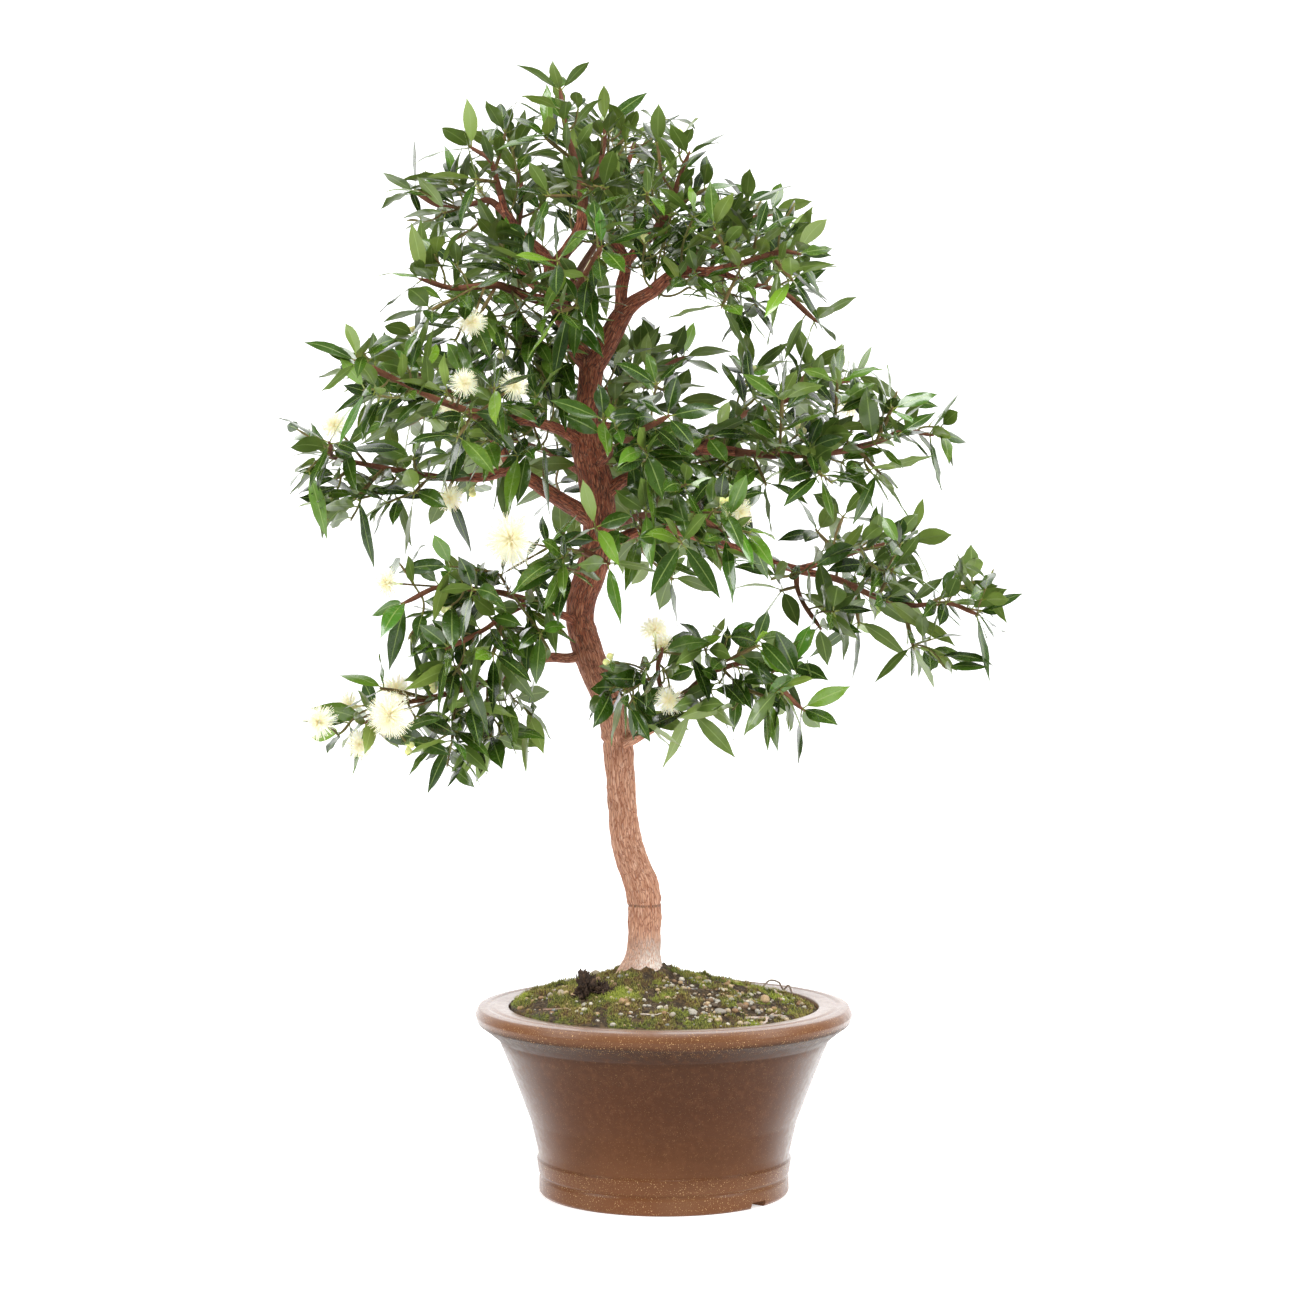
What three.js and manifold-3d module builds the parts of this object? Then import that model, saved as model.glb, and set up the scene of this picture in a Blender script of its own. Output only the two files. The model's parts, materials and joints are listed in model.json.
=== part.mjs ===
import * as THREE from "three";
import Module from "manifold-3d";

// Brush cherry bonsai in its round clay pot. Millimetres, +Z up, the front towards -Y.
// The pot's foot stands on z = 0 and its axis is x = y = 0.

// Pot
const potSides = 28;
const drainHoleRadius = 12;
const footRingInner = 96;
const footHeight = 8;
const floorTop = 20;
const rimOuter = 166.4;
const rimTop = 166;
const mouthRadius = 137;
const footNotch = { width: 17, height: 5.5, angles: [-42, 138] };

// Soil
const gap = 0.4;
const soilEdge = 161.5;
const moundRise = 31;
const moundCentre = [-12, 0];
const moundReach = 140;
const trunkSocketClearance = 0.5;

// Tree
const trunkSides = 10;
const buttGap = 0.3;
const shootRadius = 1.15;
const leafLength = 45;
const leafWidth = 15.5;
const leafThickness = 1.6;
const leafClearance = 4.4;
const stemClearance = 3.2;
const bloomClearance = 1.5;

const clayBrown = 0x76503a;
const soilBrown = 0x4a4028;
const barkBrown = 0x9a6244;
const leafGreens = [0x2f5a26, 0x3a6a2c, 0x274d22];
const bloomCream = 0xf3eed2;

// Half profile of the pot as [radius, height], closed on itself, from the foot ring outwards.
const potProfile = [
  [footRingInner, 0],
  [108.8, 0],
  [110.2, 3],
  [110, 14],
  [108.2, 16.5],
  [109.8, 19],
  [111.6, 31],
  [111, 37],
  [118, 65],
  [137, 115],
  [146, 137],
  [164, 151],
  [rimOuter, 158],
  [163.5, 165],
  [157, rimTop],
  [153.5, 164.8],
  [150, rimTop],
  [mouthRadius, 165],
  [134, 150],
  [98, 22],
  [drainHoleRadius, floorTop],
  [drainHoleRadius, footHeight],
  [footRingInner, footHeight],
];

// The inner wall of the pot, from the floor to the mouth, that the soil follows.
const innerWall = [
  [98, 22],
  [134, 150],
  [136.3, soilEdge],
];

// The centre line of each limb as [x, y, z, radius]. It starts inside the limb that it grows from.
const limbs = {
  trunk: [
    [-19, 0, 150, 21],
    [-19, 0, 178, 24.5],
    [-19, 0, 190, 24.5],
    [-19, 0, 197, 21],
    [-18, 1, 208, 17.5],
    [-17, 3, 228, 14.8],
    [-17, 6, 250, 14.6],
    [-20, 9, 269, 14.8],
    [-27, 10, 289, 14],
    [-34, 9, 311, 13],
    [-37, 5, 338, 12],
    [-39, 0, 369, 11.8],
    [-41, -4, 400, 12.3],
    [-49, -6, 434, 12],
    [-59, -5, 457, 12.6],
    [-67, -2, 479, 13],
    [-74, 3, 505, 12.2],
    [-72, 6, 525, 12.8],
    [-64, 8, 549, 13.5],
    [-58, 6, 576, 13.6],
    [-57, 2, 602, 14],
    [-60, -2, 629, 14.5],
    [-66, -4, 655, 13.5],
    [-68, -3, 681, 10],
    [-65, 0, 710, 10],
    [-63, 2, 733, 11],
  ],
  left_low: [
    [-69, -2, 475, 5.5],
    [-84, -8, 472, 4.4],
    [-100, -14, 473, 4],
    [-117, -24, 468, 3.6],
    [-132, -34, 460, 3.5],
    [-149, -42, 453, 3.2],
    [-174, -52, 447, 2.8],
    [-201, -60, 440, 2.4],
    [-231, -66, 435, 2],
  ],
  left_mid: [
    [-74, 0, 504, 4.6],
    [-89, -14, 510, 3.6],
    [-116, -42, 523, 3.2],
    [-137, -60, 530, 2.8],
    [-162, -78, 534, 2.4],
    [-186, -90, 537, 2],
  ],
  left_mid_low: [
    [-116, -42, 523, 3],
    [-136, -70, 512, 2.4],
    [-153, -86, 500, 2],
  ],
  front: [
    [-62, 2, 557, 4],
    [-65, -30, 562, 2.8],
    [-71, -62, 568, 2.2],
  ],
  left_main: [
    [-58, 0, 590, 9],
    [-76, 4, 602, 7.6],
    [-99, 8, 616, 6.6],
    [-118, 10, 629, 6],
    [-134, 10, 638, 5.6],
    [-158, 6, 631, 3.6],
    [-192, -5, 630, 3.2],
    [-226, -18, 635, 2.8],
    [-256, -28, 641, 2.3],
    [-282, -34, 646, 2],
  ],
  left_back: [
    [-134, 10, 638, 5],
    [-144, 25, 656, 4.2],
    [-161, 50, 677, 3.8],
    [-180, 75, 698, 3.4],
    [-200, 98, 714, 2.8],
    [-224, 115, 726, 2.2],
  ],
  left_front: [
    [-69, -4, 659, 6],
    [-87, -18, 670, 5],
    [-112, -42, 678, 4.4],
    [-141, -72, 681, 3.8],
    [-168, -100, 686, 3.2],
    [-193, -122, 695, 2.6],
    [-215, -138, 706, 2.2],
  ],
  left_fork: [
    [-63, 2, 727, 10],
    [-77, 4, 745, 8.4],
    [-86, 6, 765, 8.4],
    [-94, 8, 786, 8.8],
    [-98, 10, 805, 8],
    [-98, 10, 820, 7.4],
  ],
  left_high: [
    [-95, 6, 784, 5.5],
    [-119, -15, 788, 4.2],
    [-143, -32, 797, 3.4],
    [-163, -50, 794, 2.9],
    [-182, -62, 792, 2.4],
  ],
  crown_left: [
    [-98, 10, 816, 6],
    [-113, 18, 833, 5.2],
    [-130, 26, 849, 4.6],
    [-141, 32, 866, 4],
    [-154, 40, 877, 3],
    [-176, 50, 874, 2.4],
    [-198, 56, 873, 2],
  ],
  crown_left_up: [
    [-141, 32, 866, 3.6],
    [-146, 25, 887, 2.8],
    [-152, 18, 908, 2.2],
  ],
  crown_mid_left: [
    [-97, 8, 793, 5],
    [-117, 28, 803, 4],
    [-130, 46, 824, 3.6],
    [-132, 60, 847, 3.1],
    [-129, 72, 872, 2.6],
    [-129, 80, 897, 2.1],
  ],
  crown_mid: [
    [-98, 8, 814, 6.4],
    [-83, 0, 832, 5.6],
    [-73, -10, 848, 5.2],
    [-70, -18, 869, 4.5],
    [-74, -22, 890, 3.7],
    [-79, -24, 912, 2.7],
    [-84, -24, 927, 2.2],
  ],
  crown_front: [
    [-93, 4, 777, 5],
    [-78, -40, 789, 3.4],
    [-64, -90, 806, 2.4],
  ],
  right_fork: [
    [-63, 2, 727, 10],
    [-46, -12, 755, 9.4],
    [-38, -18, 770, 8.6],
    [-26, -26, 782, 6.4],
    [-10, -34, 791, 5.6],
    [5, -42, 803, 5],
    [24, -50, 806, 4.2],
    [45, -58, 807, 3.9],
    [67, -66, 812, 3.2],
    [87, -72, 819, 2.5],
    [103, -75, 822, 2],
  ],
  leader: [
    [-38, -18, 768, 6.4],
    [-37, -4, 796, 5.2],
    [-34, 8, 820, 5],
    [-45, 16, 839, 5.1],
    [-58, 26, 855, 4.9],
    [-64, 36, 873, 4.3],
    [-63, 42, 894, 3.4],
    [-56, 44, 915, 2.6],
    [-53, 45, 930, 2.2],
  ],
  right_up: [
    [-34, 6, 818, 4.6],
    [-21, -8, 832, 4],
    [-10, -20, 841, 3.6],
    [0, -30, 855, 3.1],
    [8, -38, 869, 2.6],
    [13, -44, 888, 2.1],
  ],
  crown_back: [
    [-58, 26, 855, 4],
    [-47, 62, 880, 3.3],
    [-38, 92, 903, 2.7],
    [-31, 112, 923, 2.2],
  ],
  crown_right_back: [
    [5, -42, 803, 4],
    [30, 0, 824, 3.4],
    [54, 42, 845, 2.8],
    [73, 74, 863, 2.2],
  ],
  right_fork_low: [
    [45, -58, 807, 3.2],
    [70, -52, 797, 2.6],
    [96, -46, 792, 2.1],
  ],
  right_thin: [
    [-65, 0, 699, 4],
    [-52, 28, 708, 2.9],
    [-32, 70, 718, 2.4],
    [-13, 105, 730, 2],
  ],
  centre_right: [
    [-61, -4, 639, 4.5],
    [-45, -42, 652, 3.2],
    [-26, -88, 665, 2.4],
  ],
  right_main: [
    [-58, 0, 611, 7],
    [-34, -8, 629, 5.4],
    [-14, -16, 636, 5],
    [3, -24, 648, 4.6],
    [24, -32, 653, 4.4],
    [55, -44, 653, 4],
    [85, -54, 649, 3.6],
    [117, -60, 649, 3.2],
    [151, -62, 652, 2.9],
    [182, -60, 660, 2.5],
    [209, -56, 670, 2.1],
  ],
  right_back: [
    [24, -32, 653, 4],
    [48, 20, 672, 3.4],
    [73, 62, 689, 3],
    [105, 92, 699, 2.6],
    [136, 112, 715, 2.1],
  ],
  right_front: [
    [-57, 2, 583, 5],
    [-33, -46, 593, 3.6],
    [-7, -86, 600, 3],
    [20, -114, 599, 2.3],
  ],
  right_mid: [
    [-60, 4, 565, 6],
    [-32, 14, 580, 4.6],
    [-8, 22, 586, 4.2],
    [32, 40, 578, 4],
    [75, 56, 564, 3.8],
    [119, 68, 549, 3.5],
    [157, 66, 540, 3.1],
    [191, 60, 524, 2.7],
    [222, 50, 517, 2.3],
    [254, 42, 519, 2],
  ],
  right_mid_up: [
    [119, 68, 549, 3.2],
    [149, 84, 556, 2.6],
    [179, 98, 566, 2.1],
  ],
  right_mid_down: [
    [119, 68, 549, 3],
    [119, 50, 533, 2.2],
    [123, 42, 522, 2],
  ],
  right_low: [
    [-41, -3, 393, 6],
    [-23, -20, 404, 4.4],
    [-5, -34, 416, 3.8],
    [10, -46, 432, 3.4],
    [26, -56, 450, 3.1],
    [41, -62, 463, 2.6],
    [64, -66, 470, 2.1],
  ],
  right_low_left: [
    [10, -46, 432, 2.8],
    [-2, -62, 445, 2.3],
    [-6, -76, 466, 2.1],
    [-2, -84, 482, 2],
  ],
  back_low: [
    [-59, 6, 569, 5],
    [-40, 60, 576, 3.4],
    [-17, 110, 589, 2.8],
    [4, 148, 601, 2.2],
  ],
  back_left: [
    [-59, 0, 616, 6],
    [-78, 58, 639, 4],
    [-107, 108, 656, 3.1],
    [-138, 148, 667, 2.4],
  ],
  back_right: [
    [-68, -3, 673, 5],
    [-48, 55, 677, 3.6],
    [-22, 105, 673, 2.9],
    [7, 148, 668, 2.2],
  ],
  back_crown: [
    [-95, 8, 788, 5],
    [-84, 52, 802, 3.8],
    [-71, 96, 829, 3],
    [-59, 130, 852, 2.3],
  ],
};

// The leafy end of each limb. "bare" is the share of the limb's length that stays bare wood, "tip" is where
// its last leaves reach, and each shoot leaves at a share of the limb's length and reaches to a point.
// A flower is [share of the limb's length, x, y, z of the ball's middle, ball diameter].
const leafyEnds = {
  left_low: {
    bare: 0.38,
    tip: [-284, -80, 403],
    shoots: [
      [0.44, -113, -20, 412],
      [0.54, -148, -60, 374],
      [0.62, -189, -110, 484],
      [0.7, -183, -100, 377],
      [0.84, -268, -100, 455],
    ],
    flowers: [
      [0.76, -233, -110, 428, 42],
      [0.91, -272, -60, 432, 27],
      [0.96, -259, -92, 402, 28],
    ],
  },
  left_mid: {
    bare: 0.5,
    tip: [-250, -110, 511],
    shoots: [
      [0.55, -206, -115, 564],
      [0.75, -212, -60, 490],
    ],
    flowers: [[0.93, -235, -105, 540, 27]],
  },
  left_mid_low: {
    bare: 0.3,
    tip: [-210, -115, 471],
    shoots: [[0.6, -152, -121, 455]],
    flowers: [],
  },
  front: {
    bare: 0.35,
    tip: [-30, -126, 548],
    shoots: [
      [0.6, -96, -130, 548],
      [0.75, -54, -140, 598],
    ],
    flowers: [[0.9, -130, -112, 577, 50]],
  },
  left_main: {
    bare: 0.52,
    tip: [-288, -112, 668],
    shoots: [
      [0.58, -203, -20, 594],
      [0.66, -223, -90, 607],
      [0.75, -258, 10, 597],
      [0.84, -284, -60, 592],
      [0.92, -298, -75, 615],
    ],
    flowers: [
      [0.62, -184, -60, 612, 26],
      [0.9, -283, -66, 675, 26],
    ],
  },
  left_back: {
    bare: 0.42,
    tip: [-298, 170, 732],
    shoots: [
      [0.55, -178, 120, 750],
      [0.75, -255, 160, 668],
    ],
    flowers: [],
  },
  left_front: {
    bare: 0.5,
    tip: [-275, -196, 734],
    shoots: [
      [0.56, -138, -165, 715],
      [0.68, -175, -180, 648],
      [0.85, -216, -110, 747],
    ],
    flowers: [
      [0.62, -126, -118, 706, 27],
      [0.74, -166, -150, 707, 26],
    ],
  },
  left_high: {
    bare: 0.42,
    tip: [-234, -95, 805],
    shoots: [
      [0.58, -176, -55, 744],
      [0.8, -216, -125, 758],
    ],
    flowers: [[0.7, -163, -88, 761, 27]],
  },
  crown_left: {
    bare: 0.58,
    tip: [-251, 80, 903],
    shoots: [
      [0.66, -212, 80, 824],
      [0.8, -221, 20, 855],
    ],
    flowers: [],
  },
  crown_left_up: {
    bare: 0.35,
    tip: [-197, 15, 941],
    shoots: [
      [0.6, -185, -25, 892],
      [0.75, -133, 30, 967],
    ],
    flowers: [],
  },
  crown_mid_left: {
    bare: 0.45,
    tip: [-160, 120, 952],
    shoots: [
      [0.55, -178, 115, 846],
      [0.75, -96, 125, 906],
    ],
    flowers: [],
  },
  crown_mid: {
    bare: 0.48,
    tip: [-95, -25, 998],
    shoots: [
      [0.55, -118, -90, 870],
      [0.66, -33, -80, 871],
      [0.82, -124, -55, 940],
    ],
    flowers: [],
  },
  crown_front: {
    bare: 0.35,
    tip: [-44, -170, 829],
    shoots: [
      [0.6, -95, -135, 756],
      [0.8, -101, -150, 817],
    ],
    flowers: [],
  },
  right_fork: {
    bare: 0.75,
    tip: [143, -95, 813],
    shoots: [
      [0.78, 30, -125, 860],
      [0.82, 38, -120, 750],
      [0.87, 83, -100, 861],
      [0.94, 121, -130, 779],
    ],
    flowers: [],
  },
  leader: {
    bare: 0.66,
    tip: [-52, 60, 979],
    shoots: [
      [0.72, -95, 95, 930],
      [0.85, -14, 50, 960],
    ],
    flowers: [],
  },
  right_up: {
    bare: 0.38,
    tip: [33, -65, 935],
    shoots: [
      [0.55, -20, -110, 882],
      [0.7, 64, -40, 895],
      [0.85, -16, -60, 945],
    ],
    flowers: [],
  },
  crown_back: {
    bare: 0.38,
    tip: [-22, 165, 960],
    shoots: [
      [0.6, -74, 160, 925],
      [0.75, 24, 145, 923],
    ],
    flowers: [],
  },
  crown_right_back: {
    bare: 0.38,
    tip: [124, 110, 877],
    shoots: [
      [0.6, 24, 90, 857],
      [0.8, 91, 60, 904],
    ],
    flowers: [],
  },
  right_fork_low: {
    bare: 0.35,
    tip: [156, -60, 744],
    shoots: [
      [0.6, 88, -40, 748],
      [0.8, 125, -20, 850],
    ],
    flowers: [],
  },
  right_thin: {
    bare: 0.38,
    tip: [44, 145, 753],
    shoots: [
      [0.6, -8, 95, 767],
      [0.75, 24, 120, 704],
    ],
    flowers: [],
  },
  centre_right: {
    bare: 0.38,
    tip: [20, -165, 688],
    shoots: [
      [0.62, -56, -145, 690],
      [0.75, -3, -150, 636],
    ],
    flowers: [],
  },
  right_main: {
    bare: 0.48,
    tip: [259, -75, 660],
    shoots: [
      [0.53, 94, -115, 606],
      [0.6, 102, -130, 718],
      [0.68, 144, -125, 617],
      [0.76, 150, -100, 740],
      [0.84, 207, -70, 611],
      [0.9, 203, -110, 710],
    ],
    flowers: [],
  },
  right_back: {
    bare: 0.4,
    tip: [205, 150, 728],
    shoots: [
      [0.55, 84, 120, 748],
      [0.68, 126, 155, 668],
      [0.85, 152, 105, 756],
    ],
    flowers: [[0.95, 172, 140, 700, 27]],
  },
  right_front: {
    bare: 0.38,
    tip: [74, -165, 567],
    shoots: [
      [0.55, -20, -115, 561],
      [0.68, 34, -150, 635],
      [0.84, 22, -165, 557],
    ],
    flowers: [[0.95, 64, -128, 600, 27]],
  },
  right_mid: {
    bare: 0.66,
    tip: [309, 25, 498],
    shoots: [
      [0.69, 124, 37, 611],
      [0.74, 182, 85, 470],
      [0.81, 213, 15, 571],
      [0.88, 230, 35, 449],
      [0.94, 290, 75, 542],
    ],
    flowers: [],
  },
  right_mid_up: {
    bare: 0.3,
    tip: [256, 130, 580],
    shoots: [
      [0.55, 172, 140, 620],
      [0.75, 219, 150, 520],
    ],
    flowers: [],
  },
  right_mid_down: {
    bare: 0.3,
    tip: [154, 10, 474],
    shoots: [[0.6, 82, 15, 525]],
    flowers: [],
  },
  right_low: {
    bare: 0.6,
    tip: [146, -76, 412],
    shoots: [
      [0.64, 22, -105, 411],
      [0.72, 50, -30, 424],
      [0.8, 103, -110, 500],
      [0.9, 111, -105, 428],
    ],
    flowers: [[0.68, 4, -92, 440, 28]],
  },
  right_low_left: {
    bare: 0.3,
    tip: [14, -86, 516],
    shoots: [[0.62, -63, -90, 436]],
    flowers: [[0.8, -8, -88, 500, 28]],
  },
  back_low: {
    bare: 0.4,
    tip: [55, 190, 551],
    shoots: [
      [0.55, 24, 150, 520],
      [0.75, -37, 190, 613],
    ],
    flowers: [],
  },
  back_left: {
    bare: 0.4,
    tip: [-203, 195, 641],
    shoots: [
      [0.55, -98, 175, 603],
      [0.75, -174, 190, 721],
    ],
    flowers: [[0.9, -148, 180, 640, 30]],
  },
  back_right: {
    bare: 0.4,
    tip: [77, 195, 679],
    shoots: [
      [0.55, 33, 150, 714],
      [0.75, -23, 195, 622],
    ],
    flowers: [],
  },
  back_crown: {
    bare: 0.4,
    tip: [-84, 190, 906],
    shoots: [
      [0.55, -125, 175, 856],
      [0.75, -13, 185, 862],
    ],
    flowers: [[0.9, -66, 168, 830, 28]],
  },
};

const wasm = await Module();
wasm.setup();

const up = new THREE.Vector3(0, 0, 1);
const vector = (x, y, z) => new THREE.Vector3(x, y, z);
const along = (point, direction, distance) => point.clone().addScaledVector(direction, distance);

// The same row of draws in every run (mulberry32).
function seeded(seed) {
  let state = seed;
  return () => {
    state = (state + 0x6d2b79f5) >>> 0;
    let mixed = state;
    mixed = Math.imul(mixed ^ (mixed >>> 15), mixed | 1);
    mixed ^= mixed + Math.imul(mixed ^ (mixed >>> 7), mixed | 61);
    return ((mixed ^ (mixed >>> 14)) >>> 0) / 4294967296;
  };
}

// A body under construction: its points and its faces, anticlockwise seen from outside.
class Body {
  constructor() {
    this.points = [];
    this.faces = [];
  }

  add(point) {
    this.points.push(point);
    return this.points.length - 1;
  }

  // A four-cornered ring round the centre, its corners between the directions u and v.
  ring({ centre, radius, u, v }) {
    return [0, 1, 2, 3].map((k) => {
      const angle = Math.PI / 4 + (k * Math.PI) / 2;
      const out = u.clone().multiplyScalar(Math.cos(angle)).addScaledVector(v, Math.sin(angle));
      return this.add(along(centre, out, radius));
    });
  }

  // A face, unless two of its corners are the same point.
  face(a, b, c) {
    if (a !== b && b !== c && c !== a) this.faces.push([a, b, c]);
  }

  quad(a, b, c, d) {
    this.face(a, b, c);
    this.face(a, c, d);
  }

  side(from, to, k) {
    const next = (k + 1) % from.length;
    this.quad(from[k], from[next], to[next], to[k]);
  }

  sleeve(from, to) {
    from.forEach((_, k) => this.side(from, to, k));
  }

  fan(ring, tip) {
    ring.forEach((corner, k) => this.face(corner, ring[(k + 1) % ring.length], tip));
  }

  arrays() {
    return {
      vertProperties: new Float32Array(this.points.flatMap((p) => [p.x, p.y, p.z])),
      triVerts: new Uint32Array(this.faces.flat()),
    };
  }

  solid() {
    return new wasm.Manifold(new wasm.Mesh({ numProp: 3, ...this.arrays() }));
  }

  geometry() {
    const { vertProperties, triVerts } = this.arrays();
    return toGeometry(vertProperties, triVerts);
  }
}

function toGeometry(positions, indices) {
  const geometry = new THREE.BufferGeometry();
  geometry.setAttribute("position", new THREE.BufferAttribute(positions, 3));
  geometry.setIndex(new THREE.BufferAttribute(indices, 1));
  const flat = geometry.toNonIndexed();
  flat.computeVertexNormals();
  return flat;
}

function solidToGeometry(solid) {
  const mesh = solid.getMesh();
  return toGeometry(mesh.vertProperties, mesh.triVerts);
}

function geometryToSolid(geometry) {
  const position = geometry.getAttribute("position");
  const body = new Body();
  const known = new Map();
  const numbers = [];
  for (let i = 0; i < position.count; i += 1) {
    const point = vector(position.getX(i), position.getY(i), position.getZ(i));
    const key = [point.x, point.y, point.z].map((value) => Math.round(value * 1e4)).join(",");
    if (!known.has(key)) known.set(key, body.add(point));
    numbers.push(known.get(key));
  }
  const order = geometry.index ? Array.from(geometry.index.array) : numbers.map((_, i) => i);
  for (let i = 0; i < order.length; i += 3) {
    const face = [numbers[order[i]], numbers[order[i + 1]], numbers[order[i + 2]]];
    if (new Set(face).size === 3) body.faces.push(face);
  }
  return body.solid();
}

// A centre line with its length, and the point and radius at any distance along it.
function centreLine(path) {
  const stops = path.map(([x, y, z, radius]) => ({ point: vector(x, y, z), radius }));
  const reached = [0];
  for (let i = 1; i < stops.length; i += 1) {
    reached.push(reached[i - 1] + stops[i].point.distanceTo(stops[i - 1].point));
  }
  const length = reached[reached.length - 1];
  const at = (distance) => {
    const wanted = Math.min(Math.max(distance, 0), length);
    let i = 1;
    while (i < reached.length - 1 && reached[i] < wanted) i += 1;
    const share = (wanted - reached[i - 1]) / (reached[i] - reached[i - 1]);
    return {
      point: stops[i - 1].point.clone().lerp(stops[i].point, share),
      radius: THREE.MathUtils.lerp(stops[i - 1].radius, stops[i].radius, share),
      tangent: stops[i].point.clone().sub(stops[i - 1].point).normalize(),
    };
  };
  return { stops, reached, length, at };
}

// The frame (tangent, u, v) turned the shortest way to a new tangent.
function turned(frame, tangent) {
  const turn = new THREE.Quaternion().setFromUnitVectors(frame.tangent, tangent);
  return {
    tangent,
    u: frame.u.clone().applyQuaternion(turn),
    v: frame.v.clone().applyQuaternion(turn),
  };
}

function firstFrame(tangent) {
  const side = Math.abs(tangent.z) > 0.9 ? vector(1, 0, 0) : up;
  const u = side.clone().cross(tangent).normalize();
  return { tangent, u, v: tangent.clone().cross(u) };
}

// The mean direction of the two stretches that meet at a stop.
function tangentAt(points, i) {
  const before = points[Math.max(i - 1, 0)];
  const after = points[Math.min(i + 1, points.length - 1)];
  return after.clone().sub(before).normalize();
}

// A closed round limb through the given stops, with flat ends. "swell" widens it by direction and height.
function limbSolid(stops, sides, extra = 0, swell = () => 1) {
  const body = new Body();
  const points = stops.map((stop) => stop.point);
  let frame = firstFrame(tangentAt(points, 0));
  let last = null;
  stops.forEach(({ point, radius }, i) => {
    const isEnd = i === 0 || i === stops.length - 1;
    const neighbour = i === 0 ? points[1] : points[i - 1];
    const straight = point.clone().sub(neighbour).normalize().multiplyScalar(i === 0 ? -1 : 1);
    frame = turned(frame, isEnd ? straight : tangentAt(points, i));
    const ring = [];
    for (let k = 0; k < sides; k += 1) {
      const angle = (2 * Math.PI * k) / sides;
      const out = frame.u.clone().multiplyScalar(Math.cos(angle)).addScaledVector(frame.v, Math.sin(angle));
      ring.push(body.add(along(point, out, radius * swell(k, i) + extra)));
    }
    if (last) body.sleeve(last, ring);
    else body.fan([...ring].reverse(), body.add(point.clone()));
    last = ring;
  });
  body.fan(last, body.add(points[points.length - 1].clone()));
  return body.solid();
}

// Roots swell the foot of the trunk, and above them it is slightly out of round.
const rootSwell = [0.94, 1.1, 0.93, 1.02, 1.14, 1.05, 1.12, 0.95, 1.08, 0.96];
function trunkSwell(k, i) {
  if (i < 4) return rootSwell[k];
  if (i < 5) return (1 + rootSwell[k]) / 2;
  return (k + i) % 2 ? 1.025 : 0.975;
}

// Growth plan: the stems with their rings and joints, then the leaves, set clear of one another.

const blocked = new Map();
const cellSize = 9;

function cellKey(x, y, z) {
  return `${x},${y},${z}`;
}

function block(point, radius, owner) {
  const cell = [point.x, point.y, point.z].map((value) => Math.floor(value / cellSize));
  const key = cellKey(...cell);
  if (!blocked.has(key)) blocked.set(key, []);
  blocked.get(key).push({ point, radius, owner });
}

// True when nothing but the owner's own lies within the clearance of the point.
function isClear(point, clearance, owner) {
  const [cx, cy, cz] = [point.x, point.y, point.z].map((value) => Math.floor(value / cellSize));
  for (let x = cx - 1; x <= cx + 1; x += 1) {
    for (let y = cy - 1; y <= cy + 1; y += 1) {
      for (let z = cz - 1; z <= cz + 1; z += 1) {
        const near = blocked.get(cellKey(x, y, z)) || [];
        const isNear = (b) => b.owner !== owner && b.point.distanceTo(point) < clearance + b.radius;
        if (near.some(isNear)) return false;
      }
    }
  }
  return true;
}

const woodLines = [];

function isClearOfWood(point, clearance) {
  const nearest = new THREE.Vector3();
  const stretch = new THREE.Line3();
  return woodLines.every(({ start, end, startRadius, endRadius }) => {
    stretch.set(start, end);
    const share = stretch.closestPointToPointParameter(point, true);
    stretch.at(share, nearest);
    return nearest.distanceTo(point) > clearance + THREE.MathUtils.lerp(startRadius, endRadius, share);
  });
}

const bloomBalls = [];

function isClearOfBlooms(point, clearance) {
  return bloomBalls.every(({ centre, diameter }) => centre.distanceTo(point) > diameter / 2 + clearance);
}

// The four outward directions of a joint's facets, in the order of its ring's sides.
function facetDirections({ u, v }) {
  return [v.clone(), u.clone().negate(), v.clone().negate(), u.clone()];
}

function facetOf(joint, k) {
  const directions = facetDirections(joint);
  return {
    centre: along(joint.centre, directions[k], joint.radius * Math.SQRT1_2),
    normal: directions[k],
    u: directions[(k + 1) % 4],
    v: joint.tangent.clone(),
  };
}

// A stem through the stops of a line, with short straight joints at the given distances.
function planStem(line, jointsAt, frame, bluntEnd) {
  const keepOff = 3;
  const joints = jointsAt.map(({ distance, ...rest }) => {
    const { point, radius, tangent } = line.at(distance);
    const half = Math.max(radius, 1.2);
    return { ...rest, distance, centre: point, radius, half, tangent, children: [null, null, null, null] };
  });
  const sections = joints.map((joint) => ({ distance: joint.distance, joint }));
  line.stops.forEach((stop, i) => {
    const distance = line.reached[i];
    const isFirst = i === 0 && !frame.grown;
    const isLast = i === line.stops.length - 1;
    const isFree = joints.every((joint) => Math.abs(joint.distance - distance) > joint.half + keepOff);
    if ((isFirst || i > 0) && (isFree || isFirst) && !(isLast && !bluntEnd && !isFree)) {
      sections.push({ distance, ring: { centre: stop.point, radius: stop.radius } });
    }
  });
  sections.sort((a, b) => a.distance - b.distance);
  const centres = sections.map((section) => (section.joint || section.ring).centre);
  let current = frame;
  sections.forEach((section, i) => {
    const target = section.joint || section.ring;
    const before = i > 0 ? centres[i - 1] : frame.from || centres[0];
    const after = centres[i + 1] || centres[i];
    const direction = after.clone().sub(before);
    const isButt = i === 0 && !frame.grown;
    if (!isButt) current = turned(current, section.joint ? target.tangent : direction.normalize());
    Object.assign(target, { tangent: current.tangent, u: current.u, v: current.v });
  });
  return { sections, joints, line, bluntEnd };
}

function blockStem(stem, owner) {
  const step = 3;
  for (let distance = 0; distance <= stem.line.length; distance += step) {
    const { point, radius } = stem.line.at(distance);
    block(point, radius, owner);
  }
}

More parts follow.
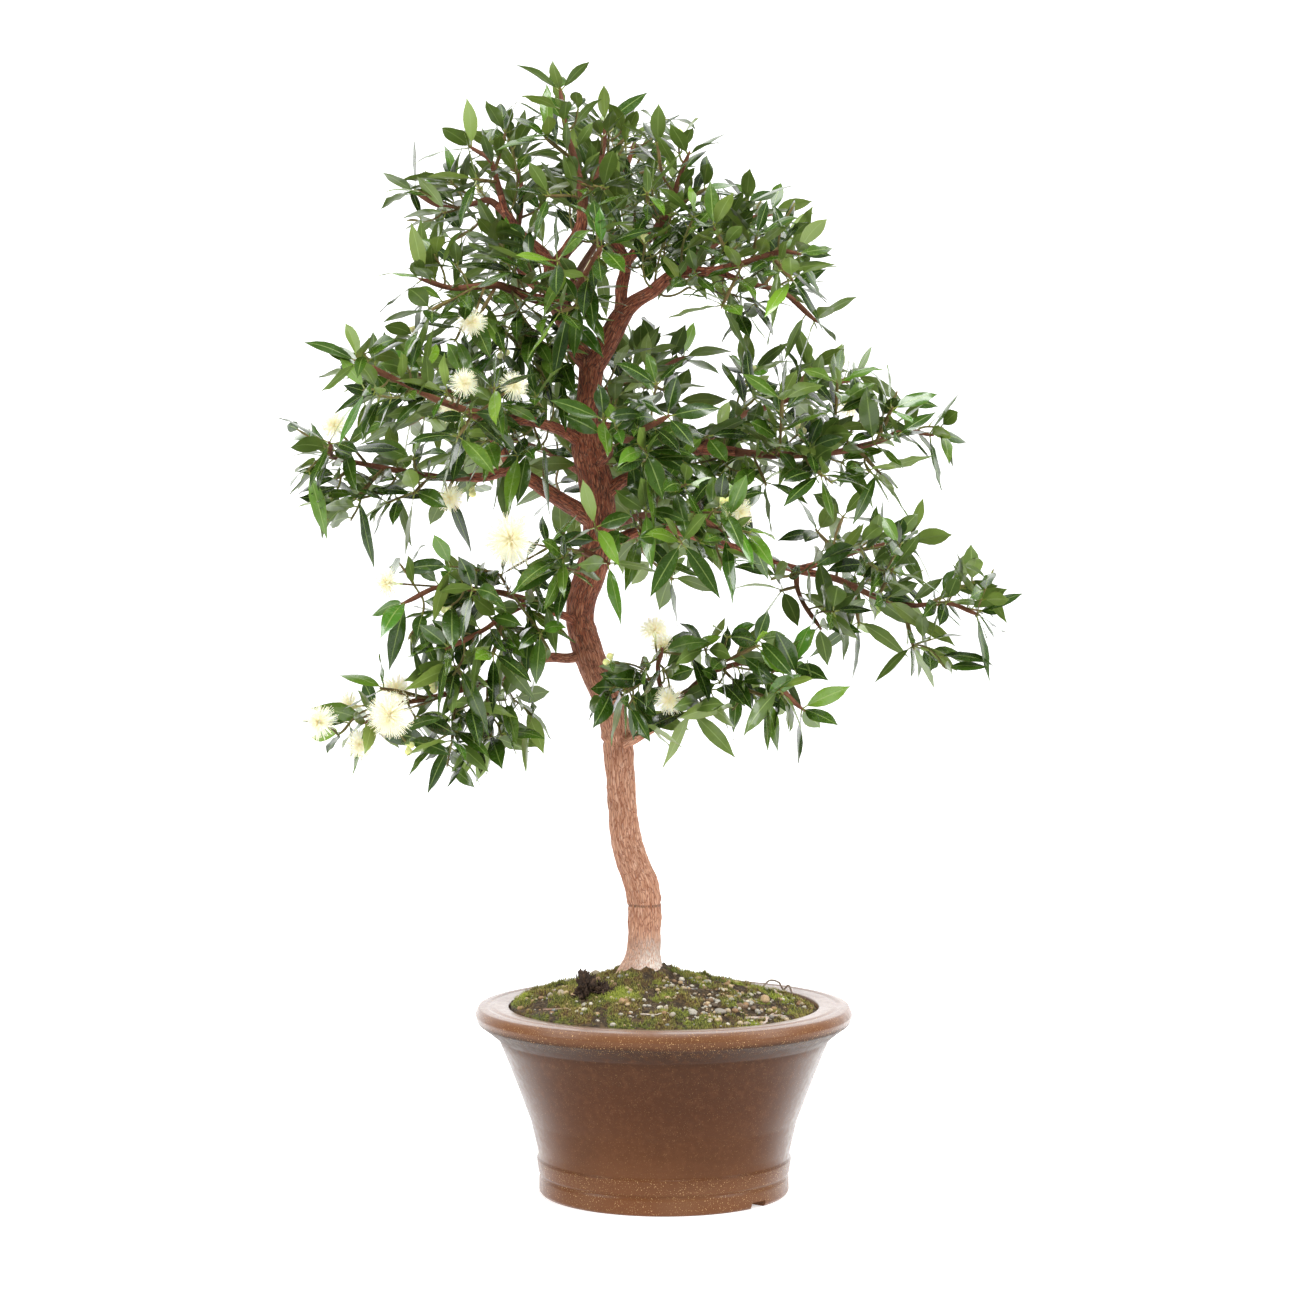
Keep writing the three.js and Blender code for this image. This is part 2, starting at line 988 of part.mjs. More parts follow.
// The free facet of a joint that looks most towards a point.
function facetTowards(joint, target) {
  const aim = target.clone().sub(joint.centre);
  let best = -1;
  facetDirections(joint).forEach((direction, k) => {
    if (joint.children[k]) return;
    if (best < 0 || direction.dot(aim) > facetDirections(joint)[best].dot(aim)) best = k;
  });
  return best;
}

// A side shoot from a facet: it leaves square to the facet and bends towards its target.
function shootLine(facet, target, stemLength, radius) {
  const aim = target.clone().sub(facet.centre).normalize();
  const end = along(facet.centre, aim, stemLength);
  const square = along(facet.centre, facet.normal, stemLength * 0.34);
  const middle = along(square, facet.v, stemLength * 0.14);
  const curve = new THREE.QuadraticBezierCurve3(facet.centre, middle, end);
  const shares = stemLength > 45 ? [0, 0.5, 1] : [0, 1];
  return centreLine(
    shares.map((share) => {
      const p = curve.getPoint(share);
      return [p.x, p.y, p.z, share === 0 ? radius * 1.2 : radius];
    }),
  );
}

const growFrame = (facet) => ({
  tangent: facet.normal,
  u: facet.u,
  v: facet.v,
  from: facet.centre,
  grown: true,
});

function planShoot(joint, target, owner) {
  const k = facetTowards(joint, target);
  const facet = facetOf(joint, k);
  const reach = facet.centre.distanceTo(target);
  const stemLength = Math.max(16, reach - leafLength * 0.72);
  const line = shootLine(facet, target, stemLength, shootRadius);
  const jointsAt = [{ distance: line.length - 1.3, leaves: 4 }];
  if (stemLength > 62) jointsAt.unshift({ distance: line.length * 0.52, leaves: 2 });
  const stem = planStem(line, jointsAt, growFrame(facet), false);
  blockStem(stem, owner);
  joint.children[k] = { stem };
  return stem;
}

// A short flower stalk stub, cut flat where the bloom sits on it.
function planStalk(joint, centre, diameter, owner) {
  const k = facetTowards(joint, centre);
  const facet = facetOf(joint, k);
  const reach = facet.centre.distanceTo(centre);
  const bloomLength = diameter * 0.3 + 4;
  const stemLength = Math.max(5, reach - bloomLength);
  const line = shootLine(facet, centre, stemLength, 1);
  const stem = planStem(line, [], growFrame(facet), true);
  blockStem(stem, owner);
  joint.children[k] = { stem };
  const end = stem.sections[stem.sections.length - 1].ring;
  return { end, centre, diameter };
}

// How far the bare wood of a limb goes, kept off the bends of its centre line.
function bareLength(name, line) {
  const wanted = leafyEnds[name] ? leafyEnds[name].bare * line.length : line.length;
  const bend = line.reached.find((distance) => Math.abs(distance - wanted) < 5);
  return leafyEnds[name] && bend !== undefined ? bend + 5 : wanted;
}

function planLeafyEnd(name) {
  const { tip, shoots, flowers } = leafyEnds[name];
  const whole = centreLine(limbs[name]);
  const start = bareLength(name, whole) + buttGap;
  const tipPoint = vector(...tip);
  const last = whole.stops[whole.stops.length - 1];
  const reach = last.point.distanceTo(tipPoint);
  const stops = [whole.at(start)];
  whole.stops.forEach((stop, i) => {
    if (whole.reached[i] > start + 6) stops.push(stop);
  });
  if (reach > leafLength) {
    const end = last.point.clone().lerp(tipPoint, 1 - (leafLength * 0.72) / reach);
    stops.push({ point: end, radius: 1.3 });
  }
  const line = centreLine(stops.map(({ point, radius }) => [point.x, point.y, point.z, radius]));
  const jointsAt = [
    ...shoots.map(([share, ...target]) => ({ share, target: vector(...target) })),
    ...flowers.map(([share, x, y, z, diameter]) => ({ share, flower: vector(x, y, z), diameter })),
  ]
    .map((joint) => ({ ...joint, distance: joint.share * whole.length - start }))
    .sort((a, b) => a.distance - b.distance);
  jointsAt.push({ distance: line.length - 1.5, leaves: 4 });
  jointsAt.forEach((joint, i) => {
    const lowest = i === 0 ? 8 : jointsAt[i - 1].distance + 9;
    joint.distance = Math.max(joint.distance, lowest);
  });
  jointsAt[jointsAt.length - 1].distance = line.length - 1.5;
  const stem = planStem(line, jointsAt, firstFrame(whole.at(start).tangent), false);
  blockStem(stem, name);
  const blooms = [];
  const stems = [stem];
  stem.joints.forEach((joint) => {
    if (joint.target) stems.push(planShoot(joint, joint.target, name));
    if (joint.flower) blooms.push(planStalk(joint, joint.flower, joint.diameter, name));
  });
  return { name, stem, stems, blooms };
}

// A leaf: its midrib runs from the base along "forward" and bends down, its face looks along "face".
function leafShape(base, forward, facing, length, width, droop) {
  const side = facing.clone().cross(forward).normalize();
  const rib = (share) => along(along(base, forward, length * share), up, -droop * length * share * share);
  const ribDirection = (share) => along(forward, up, -2 * droop * share).normalize();
  return { side, rib, ribDirection, length, width };
}

function leafSamples(leaf) {
  const samples = [];
  for (let share = 0.2; share < 1.01; share += 0.133) {
    const half = leaf.width * 0.5 * Math.sin(Math.PI * Math.min(share + 0.08, 1) ** 1.15);
    samples.push({ share, point: leaf.rib(share) });
    if (share < 0.95) {
      samples.push({ share, point: along(leaf.rib(share), leaf.side, half) });
      samples.push({ share, point: along(leaf.rib(share), leaf.side, -half) });
    }
  }
  return samples;
}

// Turns that a leaf tries in order, as [swing about the stem, change of spread], in radians.
const leafTries = [
  [0, 0],
  [0.35, 0],
  [-0.35, 0],
  [0.2, 0.3],
  [-0.2, -0.3],
  [0.65, 0.15],
  [-0.65, 0.15],
  [0.5, -0.35],
  [-0.5, -0.35],
];

const crownMiddle = vector(-20, 0, 660);

function planLeaf(joint, k, draw, jointOwner) {
  const facet = facetOf(joint, k);
  const spread = 0.82 + 0.36 * draw();
  const swing = 0.35 * (draw() - 0.5);
  const length = leafLength * (0.8 + 0.36 * draw());
  const width = leafWidth * (0.84 + 0.28 * draw());
  const droop = 0.05 + 0.24 * draw();
  const tilt = [draw() - 0.5, draw() - 0.5];
  const outward = facet.centre.clone().sub(crownMiddle).normalize();
  const lift = THREE.MathUtils.clamp((facet.centre.z - 560) / 600, 0.05, 0.35);
  for (const [swingChange, spreadChange] of leafTries) {
    const angle = spread + spreadChange;
    const forward = facet.normal
      .clone()
      .multiplyScalar(Math.sin(angle))
      .addScaledVector(joint.tangent, Math.cos(angle))
      .applyAxisAngle(joint.tangent, swing + swingChange)
      .addScaledVector(up, lift)
      .normalize();
    const facing = vector(tilt[0] * 1.1, tilt[1] * 1.1, 0.55)
      .addScaledVector(outward, 0.55)
      .addScaledVector(facet.normal, 0.15);
    const leaf = leafShape(facet.centre, forward, facing, length, width, droop);
    const samples = leafSamples(leaf);
    const fits = samples.every(({ share, point }) => {
      const ignored = share < 0.4 ? jointOwner : "";
      return (
        isClear(point, leafClearance, ignored) &&
        isClearOfWood(point, stemClearance) &&
        isClearOfBlooms(point, bloomClearance)
      );
    });
    if (fits) {
      samples.forEach(({ point }) => block(point, 0, jointOwner));
      joint.children[k] = { leaf };
      return;
    }
  }
}

// Opposite pairs, the next pair crosswise.
function planLeaves(end, draw) {
  end.stems.forEach((stem, s) => {
    stem.joints.forEach((joint, j) => {
      if (!joint.leaves) return;
      const first = Math.abs(joint.u.z) < Math.abs(joint.v.z) ? 1 : 0;
      const order = [first, first + 2, (first + 1) % 4, (first + 3) % 4].slice(0, joint.leaves);
      order.forEach((k) => planLeaf(joint, k, draw, `${end.name} ${s} ${j}`));
    });
  });
}

// Meshes: every leaf and side shoot grows out of a facet of its joint, so each end is one closed body.

// The section of a leaf is its two edges and the keel under its midrib. The left edge stands in the ring
// for two of the four corners.
function growLeaf(body, ring, leaf) {
  const stations = [
    { share: 0.4, half: leaf.width / 2, keel: leafThickness },
    { share: 0.74, half: leaf.width / 3, keel: leafThickness * 0.85 },
  ];
  let last = ring;
  stations.forEach(({ share, half, keel }, i) => {
    const middle = leaf.rib(share);
    const face = leaf.ribDirection(share).cross(leaf.side).normalize();
    if (i === 0) last = bestTurn(body, ring, leaf.side, face);
    const right = body.add(along(middle, leaf.side, half));
    const left = body.add(along(middle, leaf.side, -half));
    const under = body.add(along(middle, face, -keel));
    const next = [right, left, left, under];
    body.sleeve(last, next);
    last = next;
  });
  body.fan(last, body.add(leaf.rib(1)));
}

// The ring's corners, started at the one that looks most towards the leaf's right edge.
function bestTurn(body, ring, side, face) {
  const here = ring.map((index) => body.points[index]);
  const middle = here.reduce((sum, point) => sum.add(point), vector(0, 0, 0)).divideScalar(4);
  const wanted = [side, face, side.clone().negate(), face.clone().negate()];
  const score = (shift) =>
    wanted.reduce((sum, out, j) => sum + here[(j + shift) % 4].clone().sub(middle).normalize().dot(out), 0);
  const best = [0, 1, 2, 3].sort((a, b) => score(b) - score(a))[0];
  return wanted.map((_, j) => ring[(j + best) % 4]);
}

function growStem(body, stem, startRing) {
  let last = startRing;
  const stepTo = (section) => {
    const ring = body.ring(section);
    if (last) body.sleeve(last, ring);
    else body.quad(ring[3], ring[2], ring[1], ring[0]);
    last = ring;
  };
  stem.sections.forEach(({ joint, ring }) => {
    if (ring) {
      stepTo(ring);
      return;
    }
    stepTo({ ...joint, centre: along(joint.centre, joint.tangent, -joint.half) });
    const far = body.ring({ ...joint, centre: along(joint.centre, joint.tangent, joint.half) });
    joint.children.forEach((child, k) => {
      const next = (k + 1) % 4;
      if (!child) body.side(last, far, k);
      else if (child.leaf) growLeaf(body, [far[next], far[k], last[k], last[next]], child.leaf);
      else growStem(body, child.stem, [far[next], far[k], last[k], last[next]]);
    });
    last = far;
  });
  if (stem.bluntEnd) {
    body.quad(...last);
    return;
  }
  const end = stem.sections[stem.sections.length - 1];
  const { centre, tangent, half = 0 } = end.joint || end.ring;
  body.fan(last, body.add(along(centre, tangent, half + 2.4)));
}

// A bloom: a short stalk that widens to the cup, and a ball of tapered stamen tufts.
function bloomBody({ end, centre, diameter }) {
  const aim = centre.clone().sub(end.centre).normalize();
  const coreRadius = diameter * 0.14;
  const ball = new THREE.IcosahedronGeometry(1, diameter > 35 ? 1 : 0);
  const position = ball.getAttribute("position");
  const firstFace = [0, 1, 2].map((i) => vector().fromBufferAttribute(position, i).normalize());
  const faceOut = firstFace[0].clone().add(firstFace[1]).add(firstFace[2]).normalize();
  const turn = new THREE.Quaternion().setFromUnitVectors(faceOut, aim.clone().negate());
  const body = new Body();
  const known = new Map();
  const corner = (i) => {
    const direction = vector().fromBufferAttribute(position, i).normalize().applyQuaternion(turn);
    const key = [direction.x, direction.y, direction.z].map((value) => Math.round(value * 1e4)).join(",");
    if (!known.has(key)) known.set(key, { direction, index: body.add(along(centre, direction, coreRadius)) });
    return known.get(key);
  };
  const cup = [corner(2), corner(1), corner(0)];
  const spokes = cup.map(({ direction }) => along(direction, aim, -direction.dot(aim)).normalize());
  const back = new THREE.Quaternion().setFromUnitVectors(aim, end.tangent);
  const seat = along(end.centre, end.tangent, buttGap);
  const base = spokes.map((spoke) => body.add(along(seat, spoke.clone().applyQuaternion(back), end.radius)));
  const neckCentre = along(centre, aim, -coreRadius - 3);
  const neck = spokes.map((spoke) => body.add(along(neckCentre, spoke, 1)));
  body.faces.push([base[2], base[1], base[0]]);
  body.sleeve(base, neck);
  body.sleeve(neck, cup.map(({ index }) => index));
  for (let i = 3; i < position.count; i += 3) {
    const corners = [corner(i), corner(i + 1), corner(i + 2)];
    const out = corners.reduce((sum, c) => sum.add(c.direction), vector(0, 0, 0)).normalize();
    const reach = (diameter / 2) * (i % 2 ? 1 : 0.92);
    body.fan(corners.map((c) => c.index), body.add(along(centre, out, reach)));
  }
  return body;
}

// Pot: a turned body with notches cut through the foot ring.
function potSolid() {
  const points = [...potProfile, potProfile[0]].map(([radius, height]) => new THREE.Vector2(radius, height));
  const turnedBody = new THREE.LatheGeometry(points, potSides);
  turnedBody.rotateX(Math.PI / 2);
  let pot = geometryToSolid(turnedBody);
  footNotch.angles.forEach((degrees) => {
    const cutter = new THREE.BoxGeometry(60, footNotch.width, footNotch.height * 2);
    cutter.translate(footRingInner + 8, 0, 0);
    cutter.rotateZ(THREE.MathUtils.degToRad(degrees));
    pot = pot.subtract(geometryToSolid(cutter));
  });
  return pot;
}

// Height of the soil at a point: a mound round the trunk with small lumps.
function soilHeight(x, y) {
  const distance = Math.hypot(x - moundCentre[0], y - moundCentre[1]) / moundReach;
  const mound = moundRise * Math.max(0, 1 - distance ** 1.4);
  const lumps = 1.1 * Math.sin(x * 0.09 + 1.3) * Math.cos(y * 0.11) + 0.7 * Math.sin(x * 0.21 - y * 0.17);
  return soilEdge + mound + lumps * Math.min(1, Math.max(0, (1 - distance) * 4));
}

// Stones that lie sunk in the soil, as [x, y, size].
const stones = [
  [48, -92, 5],
  [66, -70, 4],
  [24, -98, 4.5],
  [-36, -84, 4],
  [88, -38, 5],
  [-90, -30, 4.5],
  [-62, 62, 5],
  [30, 78, 5],
  [86, 40, 4],
  [-8, 98, 4.5],
];

const clod = { at: [-66, -38], width: 24, height: 26 };

function soilSolid(trunkHole) {
  const body = new Body();
  const around = (radius, height) => {
    const ring = [];
    for (let k = 0; k < potSides; k += 1) {
      const angle = (2 * Math.PI * k) / potSides;
      const [x, y] = [radius * Math.sin(angle), -radius * Math.cos(angle)];
      ring.push(body.add(vector(x, y, height(x, y))));
    }
    return ring;
  };
  const rings = innerWall.map(([radius, height]) => around(radius - gap * 1.1, () => height + gap));
  const bottom = around(innerWall[0][0] - 4, () => innerWall[0][1] + gap);
  body.fan([...bottom].reverse(), body.add(vector(0, 0, floorTop + gap)));
  [bottom, ...rings].reduce((low, high) => {
    body.sleeve(low, high);
    return high;
  });
  const tops = [108, 74, 42].map((radius) => around(radius, soilHeight));
  const last = [rings[rings.length - 1], ...tops].reduce((outer, inner) => {
    body.sleeve(outer, inner);
    return inner;
  });
  body.fan(last, body.add(vector(0, 0, soilHeight(0, 0))));
  let soil = body.solid();
  const draw = seeded(77);
  stones.forEach(([x, y, size]) => {
    const stone = new THREE.OctahedronGeometry(size);
    stone.scale(1, 0.8, 0.7);
    stone.rotateZ(draw() * Math.PI);
    stone.rotateX(draw() - 0.5);
    stone.translate(x, y, soilHeight(x, y) + size * 0.05);
    soil = soil.add(geometryToSolid(stone));
  });
  soil = soil.add(clodSolid(seeded(31)));
  return soil.subtract(trunkHole);
}

// The dark ragged clod that stands on the soil at the left.
function clodSolid(draw) {
  const lump = new THREE.IcosahedronGeometry(1, 1);
  const position = lump.getAttribute("position");
  const sizes = new Map();
  for (let i = 0; i < position.count; i += 1) {
    const point = vector(position.getX(i), position.getY(i), position.getZ(i)).normalize();
    const key = [point.x, point.y, point.z].map((value) => Math.round(value * 1e3)).join(",");
    if (!sizes.has(key)) sizes.set(key, 0.72 + 0.5 * draw());
    point.multiplyScalar(sizes.get(key));
    position.setXYZ(i, point.x * clod.width * 0.5, point.y * clod.width * 0.42, point.z * clod.height * 0.55);
  }
  lump.translate(clod.at[0], clod.at[1], soilHeight(...clod.at) + clod.height * 0.3);
  return geometryToSolid(lump);
}

const bonsai = new THREE.Group();
bonsai.name = "brush_cherry_bonsai";

function place(name, geometry, color, roughness) {
  const material = new THREE.MeshStandardMaterial({ color, roughness, metalness: 0 });
  const mesh = new THREE.Mesh(geometry, material);
  mesh.name = name;
  bonsai.add(mesh);
}

place("pot", solidToGeometry(potSolid()), clayBrown, 0.45);

const trunkLine = centreLine(limbs.trunk);
const trunkHole = limbSolid(trunkLine.stops.slice(0, 6), trunkSides, trunkSocketClearance, trunkSwell);
place("soil", solidToGeometry(soilSolid(trunkHole)), soilBrown, 0.95);

function bareStops(name) {
  const line = centreLine(limbs[name]);
  const end = bareLength(name, line);
  const stops = line.stops.filter((_, i) => line.reached[i] < end - 4);
  return [...stops, line.at(end)];
}

function limbSides(radius) {
  if (radius >= 8) return 7;
  return radius >= 4.5 ? 5 : 4;
}

const wood = Object.keys(limbs)
  .map((name) => {
    const stops = bareStops(name);
    for (let i = 1; i < stops.length; i += 1) {
      woodLines.push({
        start: stops[i - 1].point,
        end: stops[i].point,
        startRadius: stops[i - 1].radius,
        endRadius: stops[i].radius,
      });
    }
    if (name === "trunk") return limbSolid(stops, trunkSides, 0, trunkSwell);
    return limbSolid(stops, limbSides(stops[0].radius));
  })
  .reduce((whole, limb) => whole.add(limb));
place("wood", solidToGeometry(wood), barkBrown, 0.8);

const ends = Object.keys(leafyEnds).map(planLeafyEnd);
ends.forEach(({ blooms }) => bloomBalls.push(...blooms));
const drawLeaf = seeded(2026);
ends.forEach((end) => planLeaves(end, drawLeaf));
ends.forEach((end, i) => {
  const body = new Body();
  growStem(body, end.stem, null);
  place(`leaves_${end.name}`, body.geometry(), leafGreens[i % 3], 0.4);
});

ends.forEach((end) =>
  end.blooms.forEach((bloom, i) => {
    place(`bloom_${end.name}_${i + 1}`, bloomBody(bloom).geometry(), bloomCream, 0.7);
  }),
);

export default bonsai;
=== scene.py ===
"""Brush cherry bonsai in its round clay pot: the fine leaves, bark, blooms, soil and clay round the frame.

Lengths are in millimetres in the frame's axes, and become metres when a mesh is made.
"""

import math

import bpy
import numpy as np
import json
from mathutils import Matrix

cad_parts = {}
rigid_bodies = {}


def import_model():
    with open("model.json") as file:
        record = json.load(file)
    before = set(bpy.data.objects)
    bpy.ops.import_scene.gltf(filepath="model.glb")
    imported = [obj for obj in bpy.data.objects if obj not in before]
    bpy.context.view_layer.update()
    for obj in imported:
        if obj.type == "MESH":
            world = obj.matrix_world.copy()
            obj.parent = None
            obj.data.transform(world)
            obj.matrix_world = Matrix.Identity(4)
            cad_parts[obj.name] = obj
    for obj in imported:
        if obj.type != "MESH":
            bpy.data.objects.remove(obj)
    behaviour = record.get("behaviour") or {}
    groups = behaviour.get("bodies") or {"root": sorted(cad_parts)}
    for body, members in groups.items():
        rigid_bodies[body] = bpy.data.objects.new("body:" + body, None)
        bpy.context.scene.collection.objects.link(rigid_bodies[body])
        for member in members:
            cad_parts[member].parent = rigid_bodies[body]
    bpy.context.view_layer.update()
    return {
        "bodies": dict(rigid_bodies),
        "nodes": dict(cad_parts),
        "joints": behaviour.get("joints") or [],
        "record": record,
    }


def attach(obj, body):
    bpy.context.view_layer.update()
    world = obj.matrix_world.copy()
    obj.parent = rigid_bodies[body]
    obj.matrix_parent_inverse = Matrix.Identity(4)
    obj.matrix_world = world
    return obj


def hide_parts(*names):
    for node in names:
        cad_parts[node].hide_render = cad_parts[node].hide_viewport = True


# The centre line of each limb as (x, y, z, radius). It starts inside the limb that it grows from.
LIMBS = {
    "trunk": [
        (-19, 0, 150, 21), (-19, 0, 178, 24.5), (-19, 0, 190, 24.5), (-19, 0, 197, 21), (-18, 1, 208, 17.5),
        (-17, 3, 228, 14.8), (-17, 6, 250, 14.6), (-20, 9, 269, 14.8), (-27, 10, 289, 14), (-34, 9, 311, 13),
        (-37, 5, 338, 12), (-39, 0, 369, 11.8), (-41, -4, 400, 12.3), (-49, -6, 434, 12),
        (-59, -5, 457, 12.6), (-67, -2, 479, 13), (-74, 3, 505, 12.2), (-72, 6, 525, 12.8),
        (-64, 8, 549, 13.5), (-58, 6, 576, 13.6), (-57, 2, 602, 14), (-60, -2, 629, 14.5),
        (-66, -4, 655, 13.5), (-68, -3, 681, 10), (-65, 0, 710, 10), (-63, 2, 733, 11),
    ],
    "left_low": [
        (-69, -2, 475, 5.5), (-84, -8, 472, 4.4), (-100, -14, 473, 4), (-117, -24, 468, 3.6),
        (-132, -34, 460, 3.5), (-149, -42, 453, 3.2), (-174, -52, 447, 2.8), (-201, -60, 440, 2.4),
        (-231, -66, 435, 2),
    ],
    "left_mid": [
        (-74, 0, 504, 4.6), (-89, -14, 510, 3.6), (-116, -42, 523, 3.2), (-137, -60, 530, 2.8),
        (-162, -78, 534, 2.4), (-186, -90, 537, 2),
    ],
    "left_mid_low": [(-116, -42, 523, 3), (-136, -70, 512, 2.4), (-153, -86, 500, 2)],
    "front": [(-62, 2, 557, 4), (-65, -30, 562, 2.8), (-71, -62, 568, 2.2)],
    "left_main": [
        (-58, 0, 590, 9), (-76, 4, 602, 7.6), (-99, 8, 616, 6.6), (-118, 10, 629, 6), (-134, 10, 638, 5.6),
        (-158, 6, 631, 3.6), (-192, -5, 630, 3.2), (-226, -18, 635, 2.8), (-256, -28, 641, 2.3),
        (-282, -34, 646, 2),
    ],
    "left_back": [
        (-134, 10, 638, 5), (-144, 25, 656, 4.2), (-161, 50, 677, 3.8), (-180, 75, 698, 3.4),
        (-200, 98, 714, 2.8), (-224, 115, 726, 2.2),
    ],
    "left_front": [
        (-69, -4, 659, 6), (-87, -18, 670, 5), (-112, -42, 678, 4.4), (-141, -72, 681, 3.8),
        (-168, -100, 686, 3.2), (-193, -122, 695, 2.6), (-215, -138, 706, 2.2),
    ],
    "left_fork": [
        (-63, 2, 727, 10), (-77, 4, 745, 8.4), (-86, 6, 765, 8.4), (-94, 8, 786, 8.8), (-98, 10, 805, 8),
        (-98, 10, 820, 7.4),
    ],
    "left_high": [
        (-95, 6, 784, 5.5), (-119, -15, 788, 4.2), (-143, -32, 797, 3.4), (-163, -50, 794, 2.9),
        (-182, -62, 792, 2.4),
    ],
    "crown_left": [
        (-98, 10, 816, 6), (-113, 18, 833, 5.2), (-130, 26, 849, 4.6), (-141, 32, 866, 4), (-154, 40, 877, 3),
        (-176, 50, 874, 2.4), (-198, 56, 873, 2),
    ],
    "crown_left_up": [(-141, 32, 866, 3.6), (-146, 25, 887, 2.8), (-152, 18, 908, 2.2)],
    "crown_mid_left": [
        (-97, 8, 793, 5), (-117, 28, 803, 4), (-130, 46, 824, 3.6), (-132, 60, 847, 3.1),
        (-129, 72, 872, 2.6), (-129, 80, 897, 2.1),
    ],
    "crown_mid": [
        (-98, 8, 814, 6.4), (-83, 0, 832, 5.6), (-73, -10, 848, 5.2), (-70, -18, 869, 4.5),
        (-74, -22, 890, 3.7), (-79, -24, 912, 2.7), (-84, -24, 927, 2.2),
    ],
    "crown_front": [(-93, 4, 777, 5), (-78, -40, 789, 3.4), (-64, -90, 806, 2.4)],
    "right_fork": [
        (-63, 2, 727, 10), (-46, -12, 755, 9.4), (-38, -18, 770, 8.6), (-26, -26, 782, 6.4),
        (-10, -34, 791, 5.6), (5, -42, 803, 5), (24, -50, 806, 4.2), (45, -58, 807, 3.9), (67, -66, 812, 3.2),
        (87, -72, 819, 2.5), (103, -75, 822, 2),
    ],
    "leader": [
        (-38, -18, 768, 6.4), (-37, -4, 796, 5.2), (-34, 8, 820, 5), (-45, 16, 839, 5.1), (-58, 26, 855, 4.9),
        (-64, 36, 873, 4.3), (-63, 42, 894, 3.4), (-56, 44, 915, 2.6), (-53, 45, 930, 2.2),
    ],
    "right_up": [
        (-34, 6, 818, 4.6), (-21, -8, 832, 4), (-10, -20, 841, 3.6), (0, -30, 855, 3.1), (8, -38, 869, 2.6),
        (13, -44, 888, 2.1),
    ],
    "crown_back": [(-58, 26, 855, 4), (-47, 62, 880, 3.3), (-38, 92, 903, 2.7), (-31, 112, 923, 2.2)],
    "crown_right_back": [(5, -42, 803, 4), (30, 0, 824, 3.4), (54, 42, 845, 2.8), (73, 74, 863, 2.2)],
    "right_fork_low": [(45, -58, 807, 3.2), (70, -52, 797, 2.6), (96, -46, 792, 2.1)],
    "right_thin": [(-65, 0, 699, 4), (-52, 28, 708, 2.9), (-32, 70, 718, 2.4), (-13, 105, 730, 2)],
    "centre_right": [(-61, -4, 639, 4.5), (-45, -42, 652, 3.2), (-26, -88, 665, 2.4)],
    "right_main": [
        (-58, 0, 611, 7), (-34, -8, 629, 5.4), (-14, -16, 636, 5), (3, -24, 648, 4.6), (24, -32, 653, 4.4),
        (55, -44, 653, 4), (85, -54, 649, 3.6), (117, -60, 649, 3.2), (151, -62, 652, 2.9),
        (182, -60, 660, 2.5), (209, -56, 670, 2.1),
    ],
    "right_back": [
        (24, -32, 653, 4), (48, 20, 672, 3.4), (73, 62, 689, 3), (105, 92, 699, 2.6), (136, 112, 715, 2.1),
    ],
    "right_front": [(-57, 2, 583, 5), (-33, -46, 593, 3.6), (-7, -86, 600, 3), (20, -114, 599, 2.3)],
    "right_mid": [
        (-60, 4, 565, 6), (-32, 14, 580, 4.6), (-8, 22, 586, 4.2), (32, 40, 578, 4), (75, 56, 564, 3.8),
        (119, 68, 549, 3.5), (157, 66, 540, 3.1), (191, 60, 524, 2.7), (222, 50, 517, 2.3), (254, 42, 519, 2),
    ],
    "right_mid_up": [(119, 68, 549, 3.2), (149, 84, 556, 2.6), (179, 98, 566, 2.1)],
    "right_mid_down": [(119, 68, 549, 3), (119, 50, 533, 2.2), (123, 42, 522, 2)],
    "right_low": [
        (-41, -3, 393, 6), (-23, -20, 404, 4.4), (-5, -34, 416, 3.8), (10, -46, 432, 3.4),
        (26, -56, 450, 3.1), (41, -62, 463, 2.6), (64, -66, 470, 2.1),
    ],
    "right_low_left": [(10, -46, 432, 2.8), (-2, -62, 445, 2.3), (-6, -76, 466, 2.1), (-2, -84, 482, 2)],
    "back_low": [(-59, 6, 569, 5), (-40, 60, 576, 3.4), (-17, 110, 589, 2.8), (4, 148, 601, 2.2)],
    "back_left": [(-59, 0, 616, 6), (-78, 58, 639, 4), (-107, 108, 656, 3.1), (-138, 148, 667, 2.4)],
    "back_right": [(-68, -3, 673, 5), (-48, 55, 677, 3.6), (-22, 105, 673, 2.9), (7, 148, 668, 2.2)],
    "back_crown": [(-95, 8, 788, 5), (-84, 52, 802, 3.8), (-71, 96, 829, 3), (-59, 130, 852, 2.3)],
}

